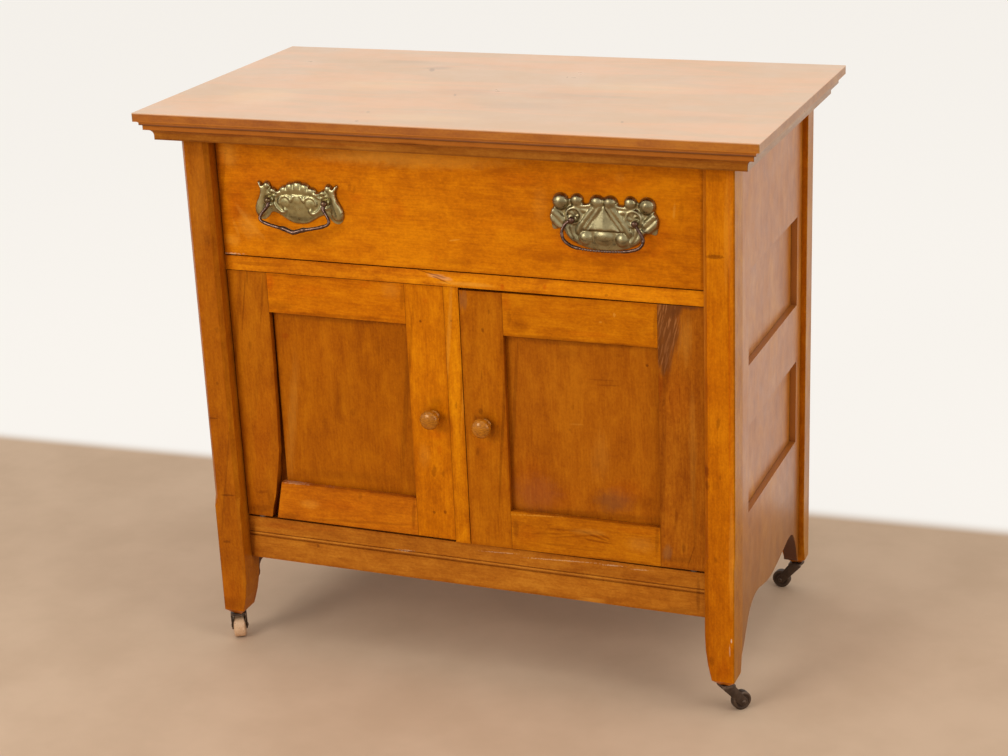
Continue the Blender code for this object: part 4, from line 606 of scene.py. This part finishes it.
class Shell:
    """Vertices and faces that are gathered for one piece."""

    def __init__(self):
        self.verts, self.faces = [], []

    def add(self, verts, faces, matrix=Matrix()):
        start = len(self.verts)
        self.verts += [matrix @ Vector(v) for v in verts]
        self.faces += [tuple(start + i for i in face) for face in faces]

    def turned(self, profile, matrix, steps, wobble=0.0, seed=0):
        """Turns a profile of (radius, height) points in mm round Z. On the axis it has one vertex."""
        verts, faces, rings = [], [], []
        for radius, height in (mm(*point) for point in profile):
            ring = range(len(verts), len(verts) + (steps if radius > 1e-7 else 1))
            for step in range(len(ring)):
                turn = math.tau * step / steps
                at = Vector((math.cos(turn), math.sin(turn), height * 80 + seed))
                out = radius * (1 + wobble * noise.noise(at * 2.0))
                verts.append((out * math.cos(turn), out * math.sin(turn), height))
            rings.append(ring)
        for low, high in zip(rings, rings[1:]):
            for i in range(steps):
                corners = ((low, i), (low, i + 1), (high, i + 1), (high, i))
                face = tuple(dict.fromkeys(ring[k % len(ring)] for ring, k in corners))
                if len(face) > 2:
                    faces.append(face)
        self.add(verts, faces, matrix)

    def tube(self, points, radii, sides=14):
        """A tube along the points, with a radius at each, and domed ends."""
        ahead = [(points[min(i + 1, len(points) - 1)] - points[max(i - 1, 0)]).normalized()
                 for i in range(len(points))]
        across = ahead[0].orthogonal()
        verts, faces = [], quads(len(points), sides)
        for point, way, radius in zip(points, ahead, radii):
            across = (across - way * across.dot(way)).normalized()
            other = way.cross(across)
            for k in range(sides):
                turn = math.tau * k / sides
                verts.append(point + (across * math.cos(turn) + other * math.sin(turn)) * radius)
        for ring, end, way in ((0, 0, -ahead[0]), ((len(points) - 1) * sides, -1, ahead[-1])):
            faces += [(ring + k, ring + (k + 1) % sides, len(verts)) for k in range(sides)]
            verts.append(points[end] + way * radii[end] * 0.6)
        self.add(verts, faces)

    def ball(self, centre, radius, rings=8, steps=12):
        """A ball of a radius in mm."""
        profile = [(radius * math.sin(math.pi * i / rings), -radius * math.cos(math.pi * i / rings))
                   for i in range(1, rings)]
        self.turned([(0, -radius), *profile, (0, radius)], Matrix.Translation(centre), steps)

    def extruded(self, outline, low, high, edge, matrix):
        """A flat outline from low to high along Y, in mm, with its rims rounded off."""
        outline = [Vector(point) for point in outline]
        centre = sum(outline, Vector((0, 0))) / len(outline)
        levels = ((low, 1), (low + edge * 0.3, 0.3), (low + edge, 0), (high - edge, 0),
                  (high - edge * 0.3, 0.3), (high, 1))
        verts = []
        for y, inward in levels:
            for point in outline:
                u, w = point - (point - centre).normalized() * edge * inward
                verts.append(mm(u, y, w))
        first = range(len(outline))
        last = range(len(verts) - len(outline), len(verts))
        self.add(verts, quads(len(levels), len(outline)) + [first[::-1], last], matrix)

    def piece(self, name, body, slot, material, replaced):
        """Makes the piece, which rides on a body and stands for the CAD node named."""
        data = bpy.data.meshes.new(name)
        data.from_pydata([tuple(v) for v in self.verts], [], self.faces)
        data.validate()
        bm = bmesh.new()
        bm.from_mesh(data)
        bmesh.ops.remove_doubles(bm, verts=bm.verts[:], dist=1e-6)
        bmesh.ops.recalc_face_normals(bm, faces=bm.faces[:])
        bm.to_mesh(data)
        bm.free()
        data.polygons.foreach_set("use_smooth", [True] * len(data.polygons))
        data.materials.append(material)
        made = placed(name, data)
        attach(made, body)
        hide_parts(replaced)


def catmull(points, steps, closed=False):
    """Points on a smooth curve through all the given ones, with any further values on them."""
    before, after = (points[-1:], points[:2]) if closed else (points[:1], points[-1:])
    padded = [*before, *points, *after]
    made = []
    for four in zip(padded, padded[1:], padded[2:], padded[3:]):
        for t in (step / steps for step in range(steps)):
            made.append(tuple(
                (2 * q + (r - p) * t + (2 * p - 5 * q + 4 * r - s) * t * t + (3 * q - p - 3 * r + s) * t ** 3) / 2
                for p, q, r, s in zip(*four)))
    return made if closed else made + [tuple(points[-1])]


# Stamped plates: height in mm over the wood, at u mm across and w mm up from the posts' line

def dome(u, w, cu, cw, ru, rw, height, power=0.5):
    rest = 1 - ((u - cu) / ru) ** 2 - ((w - cw) / rw) ** 2
    return height * rest ** power if rest > 0 else 0.0


def ridge(u, w, line, width, height):
    """A rounded ridge along a line of points."""
    nearest = 1e9
    for (au, aw), (bu, bw) in zip(line, line[1:]):
        du, dw = bu - au, bw - aw
        t = min(max(((u - au) * du + (w - aw) * dw) / (du * du + dw * dw), 0), 1)
        nearest = min(nearest, (u - au - t * du) ** 2 + (w - aw - t * dw) ** 2)
    rest = 1 - nearest / width ** 2
    return height * math.sqrt(rest) if rest > 0 else 0.0


def arc(cu, cw, radius, start, end, steps=10):
    return [(cu + radius * math.cos(math.radians(start + (end - start) * k / steps)),
             cw + radius * math.sin(math.radians(start + (end - start) * k / steps)))
            for k in range(steps + 1)]


LEFT_OUTLINE = (
    (0, 23.8), (3.6, 23.4), (5.7, 21.6), (7.6, 22), (11, 21.6), (14.6, 19.8), (16.2, 17.4), (18.2, 17.6),
    (21.2, 16.8), (24, 14.4), (25, 12), (27.2, 11.6), (28.8, 11), (30.6, 13.8), (33.4, 15.2),
    (36, 15.4), (36.6, 18.4), (38.4, 21.4), (41.2, 22.2), (44.2, 20.8), (46.2, 17.8), (48.3, 18.4),
    (50.4, 21.4), (53.2, 20.6), (51.4, 16), (49.9, 12), (50.8, 5), (55.3, -3), (58.4, -10.5),
    (58.6, -16.7), (56.5, -22.5), (52.5, -25.7), (48, -26), (42.5, -22.5), (39, -18), (36, -15.8),
    (33, -16.2), (27.5, -18), (22, -21.2), (16, -24.7), (11.5, -26.9), (6, -28.4), (0, -28.8),
)
LEFT_SCROLL = [(37, 6), (34.5, 1), (31.5, -5), (27.6, -10.6), (22.6, -14.4), (18.2, -14.4), (16.0, -11.6)]
LEFT_ARCHES = (arc(0, 0.8, 7.2, 5, 175), arc(16.6, -2.2, 8.0, -10, 165))
LEFT_HORNS = (([(45, 6), (48, 12.5), (51.4, 20)], 2.4, 3.4), ([(43.5, 8), (45.2, 14), (46, 17.5)], 1.6, 3.0))
LEFT_WING = [(47.5, 13), (50, 4), (51.4, -5), (51.4, -14)]
LEFT_KNUCKLES = ((0, 5.1), (10.7, 4.9), (20.6, 4.5), (28.2, 3.3))


def eased(value, low, high):
    """0 below low, 1 above high, and smooth between them."""
    share = min(max((value - low) / (high - low), 0), 1)
    return share * share * (3 - 2 * share)


def left_relief(side, w):
    """A fan with knuckled tips over a shield, three arches, scrolls, and a winged lobe at each end."""
    u = abs(side)
    body = dome(u, w, 0, -3, 37, 28, 3.6, 0.6)
    height = max(body, dome(u, w, 45, 5, 11, 17, 2.8, 0.6), ridge(u, w, LEFT_WING, 8.2, 4.6))
    rise = max(dome(u, w, 0, 1.4, 5.6, 5.0, 0.7), dome(u, w, 16.6, -3.0, 6.4, 6.6, 1.1),
               ridge(u, w, LEFT_SCROLL, 1.9, 2.1), dome(u, w, 17.2, -10.8, 2.4, 2.4, 1.8),
               *(ridge(u, w, line, 1.7, 1.7) for line in LEFT_ARCHES))
    low = 7.0 - 0.004 * u * u
    share = (w - low) / (24 - 0.0165 * u * u - low)
    if u < 31 and share > 0:
        crest = 2.9 + 1.7 * math.sin(math.pi * min(share, 1) ** 1.2)
        off = min(abs(u - middle * (0.72 + 0.28 * share)) / half for middle, half in LEFT_KNUCKLES)
        out = 0.85 * eased(share, 0.3, 0.66)
        height = crest * (1 - out * (1 - max(0, 1 - off ** 3) ** 0.5))
        rise = 0
    height = max(height, body + rise if rise > 0 else 0)
    height = max(height, dome(u, w, 40.6, 17.2, 5.0, 4.8, 4.6), dome(u, w, 33, 11.0, 5.6, 4.0, 4.2),
                 *(ridge(u, w, *horn) for horn in LEFT_HORNS))
    ring = math.hypot(u - 37.5, w)
    if ring < 10:
        height = max(min(height, 1.2 + 0.7 * max(ring - 4.5, 0)), 2.8 * math.exp(-((ring - 7.4) / 2.0) ** 2))
    return height


RIGHT_OUTLINE = (
    (0, 26.2), (3.5, 28.2), (8.5, 29), (13.4, 27.4), (16.2, 23.4), (17.6, 19.6), (21.5, 18.4), (24.6, 19.4),
    (24.6, 24.4), (28, 28.6), (32.6, 29.4), (37, 27.4), (40.4, 22.6), (42.6, 23.6), (45, 27.4),
    (51.2, 29.4), (58, 27), (61.2, 20.4), (60, 13.4), (62.4, 9), (64.4, 3), (63.4, -6), (61, -13.6),
    (53, -12.4), (49, -12.8), (46.5, -18), (40, -25.5), (28, -31.4), (14, -34.8), (0, -35.6),
)
ROPE = [(4.6, 15), (9.6, 7), (15.8, -1.5), (22.2, -10)]
BAND = [(10.6, 14), (16.6, 7), (22.6, -0.5), (27.6, -8), (29.8, -14)]
SIDE_RIBS = ([(63, 1), (56, -5.5), (49, -11)], [(61, 9), (54.5, 3), (48.5, -3)])
TOP_LEAVES = ([(15, 16.5), (21, 16), (28, 15), (34, 14.5)], [(19.5, 10), (25, 11), (30, 11.5)])
LOW_RIBS = ([(45.5, -10), (43, -17), (37, -23.5)], [(38.5, -9), (37, -17), (32.5, -24.5)])


def right_relief(side, w):
    """A tent between two banded arms over a bowl, bosses along the top, rosettes and leaves at the ends."""
    u = abs(side)
    height = dome(u, w, 0, -8, 52, 34, 2.2, 0.6)
    reach = (18 - w) * 0.66
    if -12 < w < 18 and u < reach:
        height = max(height, 5.6 - 0.15 * (w + 10) + 0.9 * (1 - u / reach) ** 2)
    height = max(height, dome(side, w, 0, -19.6, 13.4, 10.4, 5.0, 0.6))
    if u < 16:
        height -= 1.2 * math.exp(-((w + 11.4 + 0.5 * math.sin(side * 0.5)) / 1.0) ** 2)
    height = max(height, ridge(u, w, ROPE, 3.2, 4.9), ridge(u, w, BAND, 4.3, 4.7))
    if 20 < u < 33 and -13 < w < -2:
        height = max(height, ridge(u, w, BAND[2:], 4.9, 5.0))
    for lines, width, rise in ((SIDE_RIBS, 4.6, 4.2), (TOP_LEAVES, 3.4, 3.0), (LOW_RIBS, 3.4, 3.2)):
        height = max(height, *(ridge(u, w, line, width, rise) for line in lines))
    du, dw = u - 35.5, w - 4
    ring, turn = math.hypot(du, dw), math.atan2(dw, du)
    petals = 0.5 + 0.5 * math.cos(5 * turn + ring * 0.5)
    if ring < 11:
        height = max(height if ring > 9 else 0, 3.8 * math.exp(-((ring - 8.8) / 2.4) ** 2),
                     (1.6 + 1.0 * petals) if ring < 7.6 else 0)
    big = dome(u, w, 51.4, 19.4, 9.9, 9.9, 6.4, 0.6)
    big -= 0.6 * math.exp(-((math.hypot(u - 51.4, w - 19.4) - 6.2) / 0.8) ** 2) if big and side > 0 else 0
    return max(height, big, dome(u, w, 31.6, 21.8, 7.7, 7.7, 5.2, 0.6), dome(u, w, 7.7, 21.0, 8.3, 8.3, 6.0, 0.6),
               dome(u, w, 22, -21.2, 9.2, 9.4, 6.2, 0.65))


FRONT = -0.1513  # y of the doors and the drawer
PULL_HEIGHT = 0.602
PIVOT_Y = -0.16
POST_OFFSET = 37.5  # mm from a pull's middle
TO_FRONT = Matrix.Rotation(math.pi / 2, 4, "X")  # lays Z towards the viewer
GRAIN = 0.62  # mm between the vertices of a plate
RIM, ROLL, ROLL_REACH = 0.5, 0.7, 0.8  # mm: a plate's thickness at the rim, its rise inside it, and how soon
PULL_POST = ((0, 0), (4.2, 0), (4.2, 2.6), (3.7, 3.4), (2.7, 4), (2.5, 5.2), (3.2, 6.2), (3.9, 7.2),
             (4.15, 8.7), (3.95, 10.2), (3.1, 11.6), (1.8, 12.3), (0, 12.5))


def plate_points(rim, border):
    """Points over the inside of a rim, in rows, and not too near it."""
    inside = []
    low, high = min(w for _, w in rim), max(w for _, w in rim)
    for row in range(int((high - low) / GRAIN) + 2):
        w = low + row * GRAIN
        crossings = sorted(
            a[0] + (w - a[1]) / (b[1] - a[1]) * (b[0] - a[0])
            for a, b in zip(rim, rim[1:] + rim[:1]) if (a[1] > w) != (b[1] > w))
        for left, right in zip(crossings[::2], crossings[1::2]):
            count = int((right - left - 0.7 * GRAIN) / GRAIN)
            for k in range(count + 1):
                u = left + 0.35 * GRAIN + (right - left - 0.7 * GRAIN) * k / max(count, 1)
                if border.find((u, w, 0))[2] > GRAIN * 0.45:
                    inside.append((u, w))
    return inside


def plate(name, centre_x, shift, half, relief, material):
    """A stamped plate with its relief, and the two turned posts that hold the bail."""
    loop = catmull(list(half) + [(-u, w) for u, w in reversed(half[1:-1])], 12, closed=True)
    rim = loop[:1]
    for point in loop:
        if math.dist(point, rim[-1]) > GRAIN * 0.8:
            rim.append(point)
    border = kdtree.KDTree(len(rim))
    for index, point in enumerate(rim):
        border.insert((*point, 0), index)
    border.balance()
    flat = [Vector(point) for point in rim + plate_points(rim, border)]
    flat, _, tris, *_ = geometry.delaunay_2d_cdt(flat, [], [list(range(len(rim)))], 1, 1e-6)
    beside = [set() for _ in flat]
    for tri in tris:
        for a in tri:
            beside[a].update(tri)
    lifts, edges = [], [border.find((u, w, 0))[2] for u, w in flat]
    for (u, w), edge in zip(flat, edges):
        lift = RIM + ROLL * (1 - math.exp(-edge / ROLL_REACH)) + relief(u, w) * min(1, 0.35 + edge / 1.6)
        lifts.append(lift + 0.05 * noise.noise(Vector((u * 0.5, w * 0.5, 3))))
    for _ in range(3):
        lifts = [sum(lifts[b] for b in near) / len(near) if edge > 0.1 else lift
                 for lift, near, edge in zip(lifts, beside, edges)]
    verts = [(u / 1000 + centre_x + shift, FRONT - lift / 1000, w / 1000 + PULL_HEIGHT)
             for (u, w), lift in zip(flat, lifts)]
    sides = dict.fromkeys((a, b) for tri in tris for a, b in zip(tri, tri[1:] + tri[:1]))
    following = {a: b for a, b in sides if (b, a) not in sides}
    order = [next(iter(following))]
    while following[order[-1]] != order[0]:
        order.append(following[order[-1]])
    first, count = len(verts), len(order)
    verts += [(verts[i][0], FRONT, verts[i][2]) for i in order]
    walls = [(order[(k + 1) % count], order[k], first + k, first + (k + 1) % count) for k in range(count)]
    shell = Shell()
    shell.add(verts, tris + walls + [range(first, first + count)])
    for side in (-1, 1):
        place = Matrix.Translation((centre_x + side * POST_OFFSET / 1000, FRONT, PULL_HEIGHT))
        shell.turned(PULL_POST, place @ TO_FRONT, 24)
    shell.piece(f"{name}_relief", "drawer", "brass", material, name)


# The arms of each bail, from a post down to the middle: mm across, mm down, thickness. Where two are
# given, they are the right arm and the left one
LEFT_BAIL = ((
    (37.5, 0, 1.1), (36.6, 3, 1.1), (37, 6.5, 1), (39.6, 10.5, 1), (42.9, 14.5, 1), (45.2, 18.4, 1),
    (45.9, 21.6, 1), (44.2, 24.6, 1), (39.8, 26.6, 1), (31.7, 29, 1.05), (21.1, 31.2, 1.15),
    (12, 32.8, 1.3), (5.5, 34.9, 1.5), (0, 36.2, 1.6)),)
RIGHT_BAIL = ((
    (37.5, 0, 1), (39.8, 3.5, 1), (43.8, 9, 1), (47.6, 15.5, 1), (48.4, 19, 1), (47, 23.5, 1),
    (41.7, 28, 1.05), (30.1, 31.2, 1.1), (15, 32.6, 1.1), (0, 32.9, 1.1)), (
    (37.5, 0, 1), (41.5, 2.2, 1), (45.7, 6.2, 1), (48.4, 13.8, 1), (46.6, 21.5, 1), (40.5, 27, 1.05),
    (31.5, 30.6, 1.1), (15, 32.6, 1.1), (0, 32.9, 1.1)))

WIRE, BEADED_WIRE = 0.0019, 0.0009
BEAD, BEAD_PITCH = 1.8, 0.0033  # radius in mm, and m from bead to bead


def bail(name, body, centre_x, arms, tilt, material, swell=0.0, beads=0.0):
    """A bail of uneven wire. Where beads is a reach in mm, its middle carries a row of beads."""
    whole = catmull(list(arms[0]) + [(-u, w, thick) for u, w, thick in reversed(arms[-1][:-1])], 7)
    lean = math.radians(tilt)
    points, radii = [], []
    for u, down, thick in whole:
        points.append(Vector((centre_x + u / 1000, PIVOT_Y - down / 1000 * math.sin(lean),
                              PULL_HEIGHT - down / 1000 * math.cos(lean))))
        bulge = swell * (math.exp(-((abs(u) - 13) / 3) ** 2) + 0.8 * math.exp(-((abs(u) - 37) / 3) ** 2))
        uneven = 0.1 * noise.noise(Vector((u * 0.4, -down * 0.4, 1)))
        radii.append((BEADED_WIRE if abs(u) < beads else WIRE) * thick * (1 + bulge + uneven))
    shell = Shell()
    shell.tube(points, radii)
    ahead = 0.0
    for here, there, (u, *_) in zip(points, points[1:], whole):
        length = (there - here).length
        while abs(u) < beads and ahead < length:
            shell.ball(here.lerp(there, ahead / length), BEAD)
            ahead += BEAD_PITCH
        ahead = max(0.0, ahead - length)
    shell.piece(f"{name}_wire", body, "bronze", material, name)


def knob(name, body, x, z, seed, material):
    """A turned knob with a worn, slightly flattened face."""
    profile = ((0, -12), (4.0, -12), (4.0, 0.3), (7.5, 0.3), (8.0, 1.1), (7.4, 2.0), (6.0, 2.9), (5.3, 4.2),
               (5.2, 5.8), (5.7, 7.2), (6.7, 8.6), (8.2, 9.4), (10.2, 10.2), (11.4, 11.2), (12.1, 12.6),
               (12.25, 14.2), (12.0, 15.9), (11.3, 17.5), (10.0, 18.9), (8.2, 20.1), (6.0, 21.0),
               (3.4, 21.6), (1.4, 21.9), (0, 22.0))
    shell = Shell()
    shell.turned(profile, Matrix.Translation((x, -0.151, z)) @ TO_FRONT, 48, 0.012, seed)
    shell.piece(f"{name}_turned", body, "knob_wood", material, name)


# Heading in degrees, and the wheel's radius, its width and how far it trails, in mm
CASTORS = {
    "front_left": (118, 15.5, 15.5, 8.0), "front_right": (45, 12.0, 11.0, 20.0),
    "back_left": (-20, 12.0, 11.0, 20.0), "back_right": (174, 12.0, 11.0, 20.0),
}
CROWN_TOP, CROWN_THICK, CROWN_BACK, CROWN_FRONT = 39.7, 2.5, -9, 8
STEM_LOW = 0.06  # m: above it a CAD fork has only its stem
EAR_GAP, EAR_THICK, EAR_TIP = 0.6, 1.8, 5.5
STEM = ((0, 38.5), (7.8, 38.5), (7.8, 39.6), (4, 39.7), (4, 68), (2.8, 70), (0, 70))
RIVET = ((0, -0.4), (2.8, -0.2), (2.7, 0.4), (1.9, 1.0), (0, 1.2))


def wheel_profile(radius, half):
    """A wheel's section: a crowned tread with rounded edges, and a sunk disc and a hub on each side."""
    tread = []
    for k in range(1, 12):
        across = half * (k / 6 - 1)
        inward = max(0, abs(across) - (half - 2.2)) / 2.2
        tread.append((radius - 0.25 * (across / half) ** 2 - 1.9 * (1 - math.sqrt(1 - inward ** 2)), across))
    face = ((2.3, 0), (5.0, 0), (5.6, 0.5), (radius - 3.6, 0.5), (radius - 3.0, 0))
    return [*((r, sunk - half) for r, sunk in face), *tread, *((r, half - sunk) for r, sunk in reversed(face)),
            (2.3, -half)]


def castor(name, iron, wheel_material):
    """A castor: a rounded crown plate and stem, two stamped ears, a riveted axle and a wheel."""
    heading, radius, width, trail = CASTORS[name]
    half = width / 2
    outer = half + EAR_GAP + EAR_THICK
    verts = [v.co for v in NODES[f"castor_fork_{name}"].data.vertices if v.co.z > STEM_LOW]
    x, y = ((min(v[axis] for v in verts) + max(v[axis] for v in verts)) / 2 for axis in (0, 1))
    place = Matrix.Translation((x, y, 0)) @ Matrix.Rotation(math.radians(heading), 4, "Z")
    shell = Shell()
    crown = []
    for u, w, corner, start in ((CROWN_FRONT, outer, 3, 0), (CROWN_BACK, outer, 4, 90),
                                (CROWN_BACK, -outer, 4, 180), (CROWN_FRONT, -outer, 3, 270)):
        crown += arc(u - math.copysign(corner, u), w - math.copysign(corner, w), corner, start, start + 90, 5)
    shell.extruded(crown, CROWN_TOP - CROWN_THICK, CROWN_TOP, 0.6, place @ TO_FRONT)
    lean = math.degrees(math.atan2(CROWN_TOP - radius, trail - CROWN_BACK))
    ear = [(CROWN_BACK, CROWN_TOP - 0.8), (CROWN_BACK, CROWN_TOP - 2.8), (-7.6, CROWN_TOP - 5),
           *arc(trail, radius, EAR_TIP, 270 - lean, 375, 14),
           (8.6 if trail > 10 else 8, CROWN_TOP - 4), (CROWN_FRONT, CROWN_TOP - 0.8)]
    for side in (-1, 1):
        low, high = sorted((side * (outer - EAR_THICK), side * outer))
        shell.extruded(ear, low, high, 0.5, place)
        rivet = Matrix.Translation(mm(trail, side * outer, radius)) @ Matrix.Rotation(-side * math.pi / 2, 4, "X")
        shell.turned(RIVET, place @ rivet, 20)
    shell.turned(STEM, place, 24)
    axle = place @ Matrix.Translation(mm(trail, 0, radius)) @ TO_FRONT
    end = half + 2
    shell.turned(((0, -end), (2, -end), (2, end), (0, end)), axle, 16)
    shell.piece(f"castor_fork_{name}_iron", f"castor_{name}", "iron", iron, f"castor_fork_{name}")
    wheel = Shell()
    wheel.turned(wheel_profile(radius, half), axle, 48)
    slot = "wheel_wood" if name == "front_left" else "iron"
    wheel.piece(f"castor_wheel_{name}_turned", f"wheel_{name}", slot, wheel_material, f"castor_wheel_{name}")


# Metals, knobs and the tan wheel

def metal(name, light, middle, dark, rough, metallic=1.0, grime_and_shade=0.6, bump=0.00015, posts=None):
    """Old metal: bright where rubbed, dark in its hollows, uneven in gloss."""
    shader = Shader(name)
    light, middle, dark = srgb(*light), srgb(*middle), srgb(*dark)
    height = shader.add("NewGeometry", output="Pointiness")
    patch, speck = shader.place.noise(180, 4, 0.6), shader.place.noise(900, 3, 0.6)
    tarnish = shader.place.noise(70, 4, 0.6)
    colour = shader.mix((patch * 0.06 + height).band(0.44, 0.52), dark, middle)
    colour = colour.paint((patch * 0.1 + height).band(0.55, 0.68), light)
    deepest = (dark[0] * 0.5, dark[1] * 0.5, dark[2] * 0.5, 1)
    colour = colour.paint(shader.openness(0.0022, 6).fade(0.15, 0.75, grime_and_shade), deepest)
    if posts:
        colour = colour.paint(shader.y.fade(-0.1596, -0.1591), srgb(*posts))
    colour = colour.paint(speck.band(0.62, 0.72, 0.25), dark).paint(tarnish.band(0.42, 0.68, 0.45), dark)
    return shader.finish(Base_Color=colour, Roughness=(patch - 0.5) * 0.5 + rough, Metallic=metallic,
                         Normal=shader.bump(patch + speck, bump, 0.4))


def knob_wood():
    shader = Shader("knob_wood")
    rings = shader.place.noise((260, 40, 700), 4, 0.6, 0.4)
    patch = grain_vector(shader, "y", 7).noise(90)
    colour = shader.mix((patch * 0.5 + rings).band(0.45, 1.0), srgb(128, 70, 8), srgb(190, 116, 22))
    # Painted shade: darker where the knob meets the door and in its hollows.
    colour = colour.paint(shader.openness(0.008, 4).fade(0.2, 0.8, 0.8), srgb(70, 32, 8))
    return shader.finish(Base_Color=colour, Roughness=(patch - 0.5) * 0.2 + 0.18,
                         Normal=shader.bump(rings, 0.0002, 0.3), Specular_Tint=(1.0, 0.75, 0.45, 1),
                         Specular_IOR_Level=0.5)


def wheel_tan():
    shader = Shader("wheel_tan")
    patch, dirt = shader.place.noise(140, 4, 0.6), shader.place.noise(420, 3, 0.6)
    colour = shader.mix(patch.band(0.35, 0.7), srgb(196, 152, 112), srgb(214, 176, 138))
    colour = colour.paint(dirt.band(0.58, 0.72, 0.6), srgb(120, 84, 56))
    # Painted shade: darker in the wheel's hollows and under the fork.
    colour = colour.paint(shader.openness(0.006, 4).fade(0.1, 0.7, 0.8), srgb(62, 40, 26))
    return shader.finish(Base_Color=colour, Roughness=patch * 0.3 + 0.35, Normal=shader.bump(dirt, 0.0002, 0.4))


def fittings():
    """Puts the finer pieces on, in place of the plain ones."""
    left_brass = metal("left_brass", (244, 236, 200), (158, 147, 104), (98, 86, 52), 0.33, grime_and_shade=0.4,
                       bump=0.0001, posts=(104, 78, 62))
    right_brass = metal("right_brass", (210, 202, 172), (148, 136, 100), (84, 70, 46), 0.32, grime_and_shade=0.5,
                        bump=0.0001, posts=(96, 72, 60))
    bronze = metal("aged_bronze", (150, 122, 106), (76, 55, 47), (38, 25, 20), 0.23)
    iron = metal("dark_iron", (112, 92, 76), (74, 58, 46), (44, 32, 26), 0.55, metallic=0.75, bump=0.0003)
    knobs, tan = knob_wood(), wheel_tan()
    left_x, right_x = -0.198, 0.188
    plate("pull_plate_left", left_x, 0.0, LEFT_OUTLINE, left_relief, left_brass)
    plate("pull_plate_right", right_x, -0.0012, RIGHT_OUTLINE, right_relief, right_brass)
    bail("bail_left", "left_bail", left_x, LEFT_BAIL, 20, bronze, swell=0.3)
    bail("bail_right", "right_bail", right_x, RIGHT_BAIL, 12, bronze, beads=26)
    knob("left_door_knob", "left_door", -0.037, 0.342, 1, knobs)
    knob("right_door_knob", "right_door", 0.03, 0.338, 2, knobs)
    for side in ("left", "right"):
        dress(iron, f"door_pin_{side}_top", f"door_pin_{side}_bottom", bevel=0)
    for name in CASTORS:
        castor(name, iron, tan if name == "front_left" else iron)


camera()
world()
floor()
lamp("key", (-1.5, -2.9, 1.8), (0, 0, 0.35), 1.4, 48)
lamp("fill", (2.8, -0.6, 1.6), (0, 0, 0.4), 2.0, 34)
lamp("above", (0, -0.2, 3.0), (0, 0, 0), 2.0, 11)
woods()
fittings()
SCENE.view_settings.view_transform = "Standard"
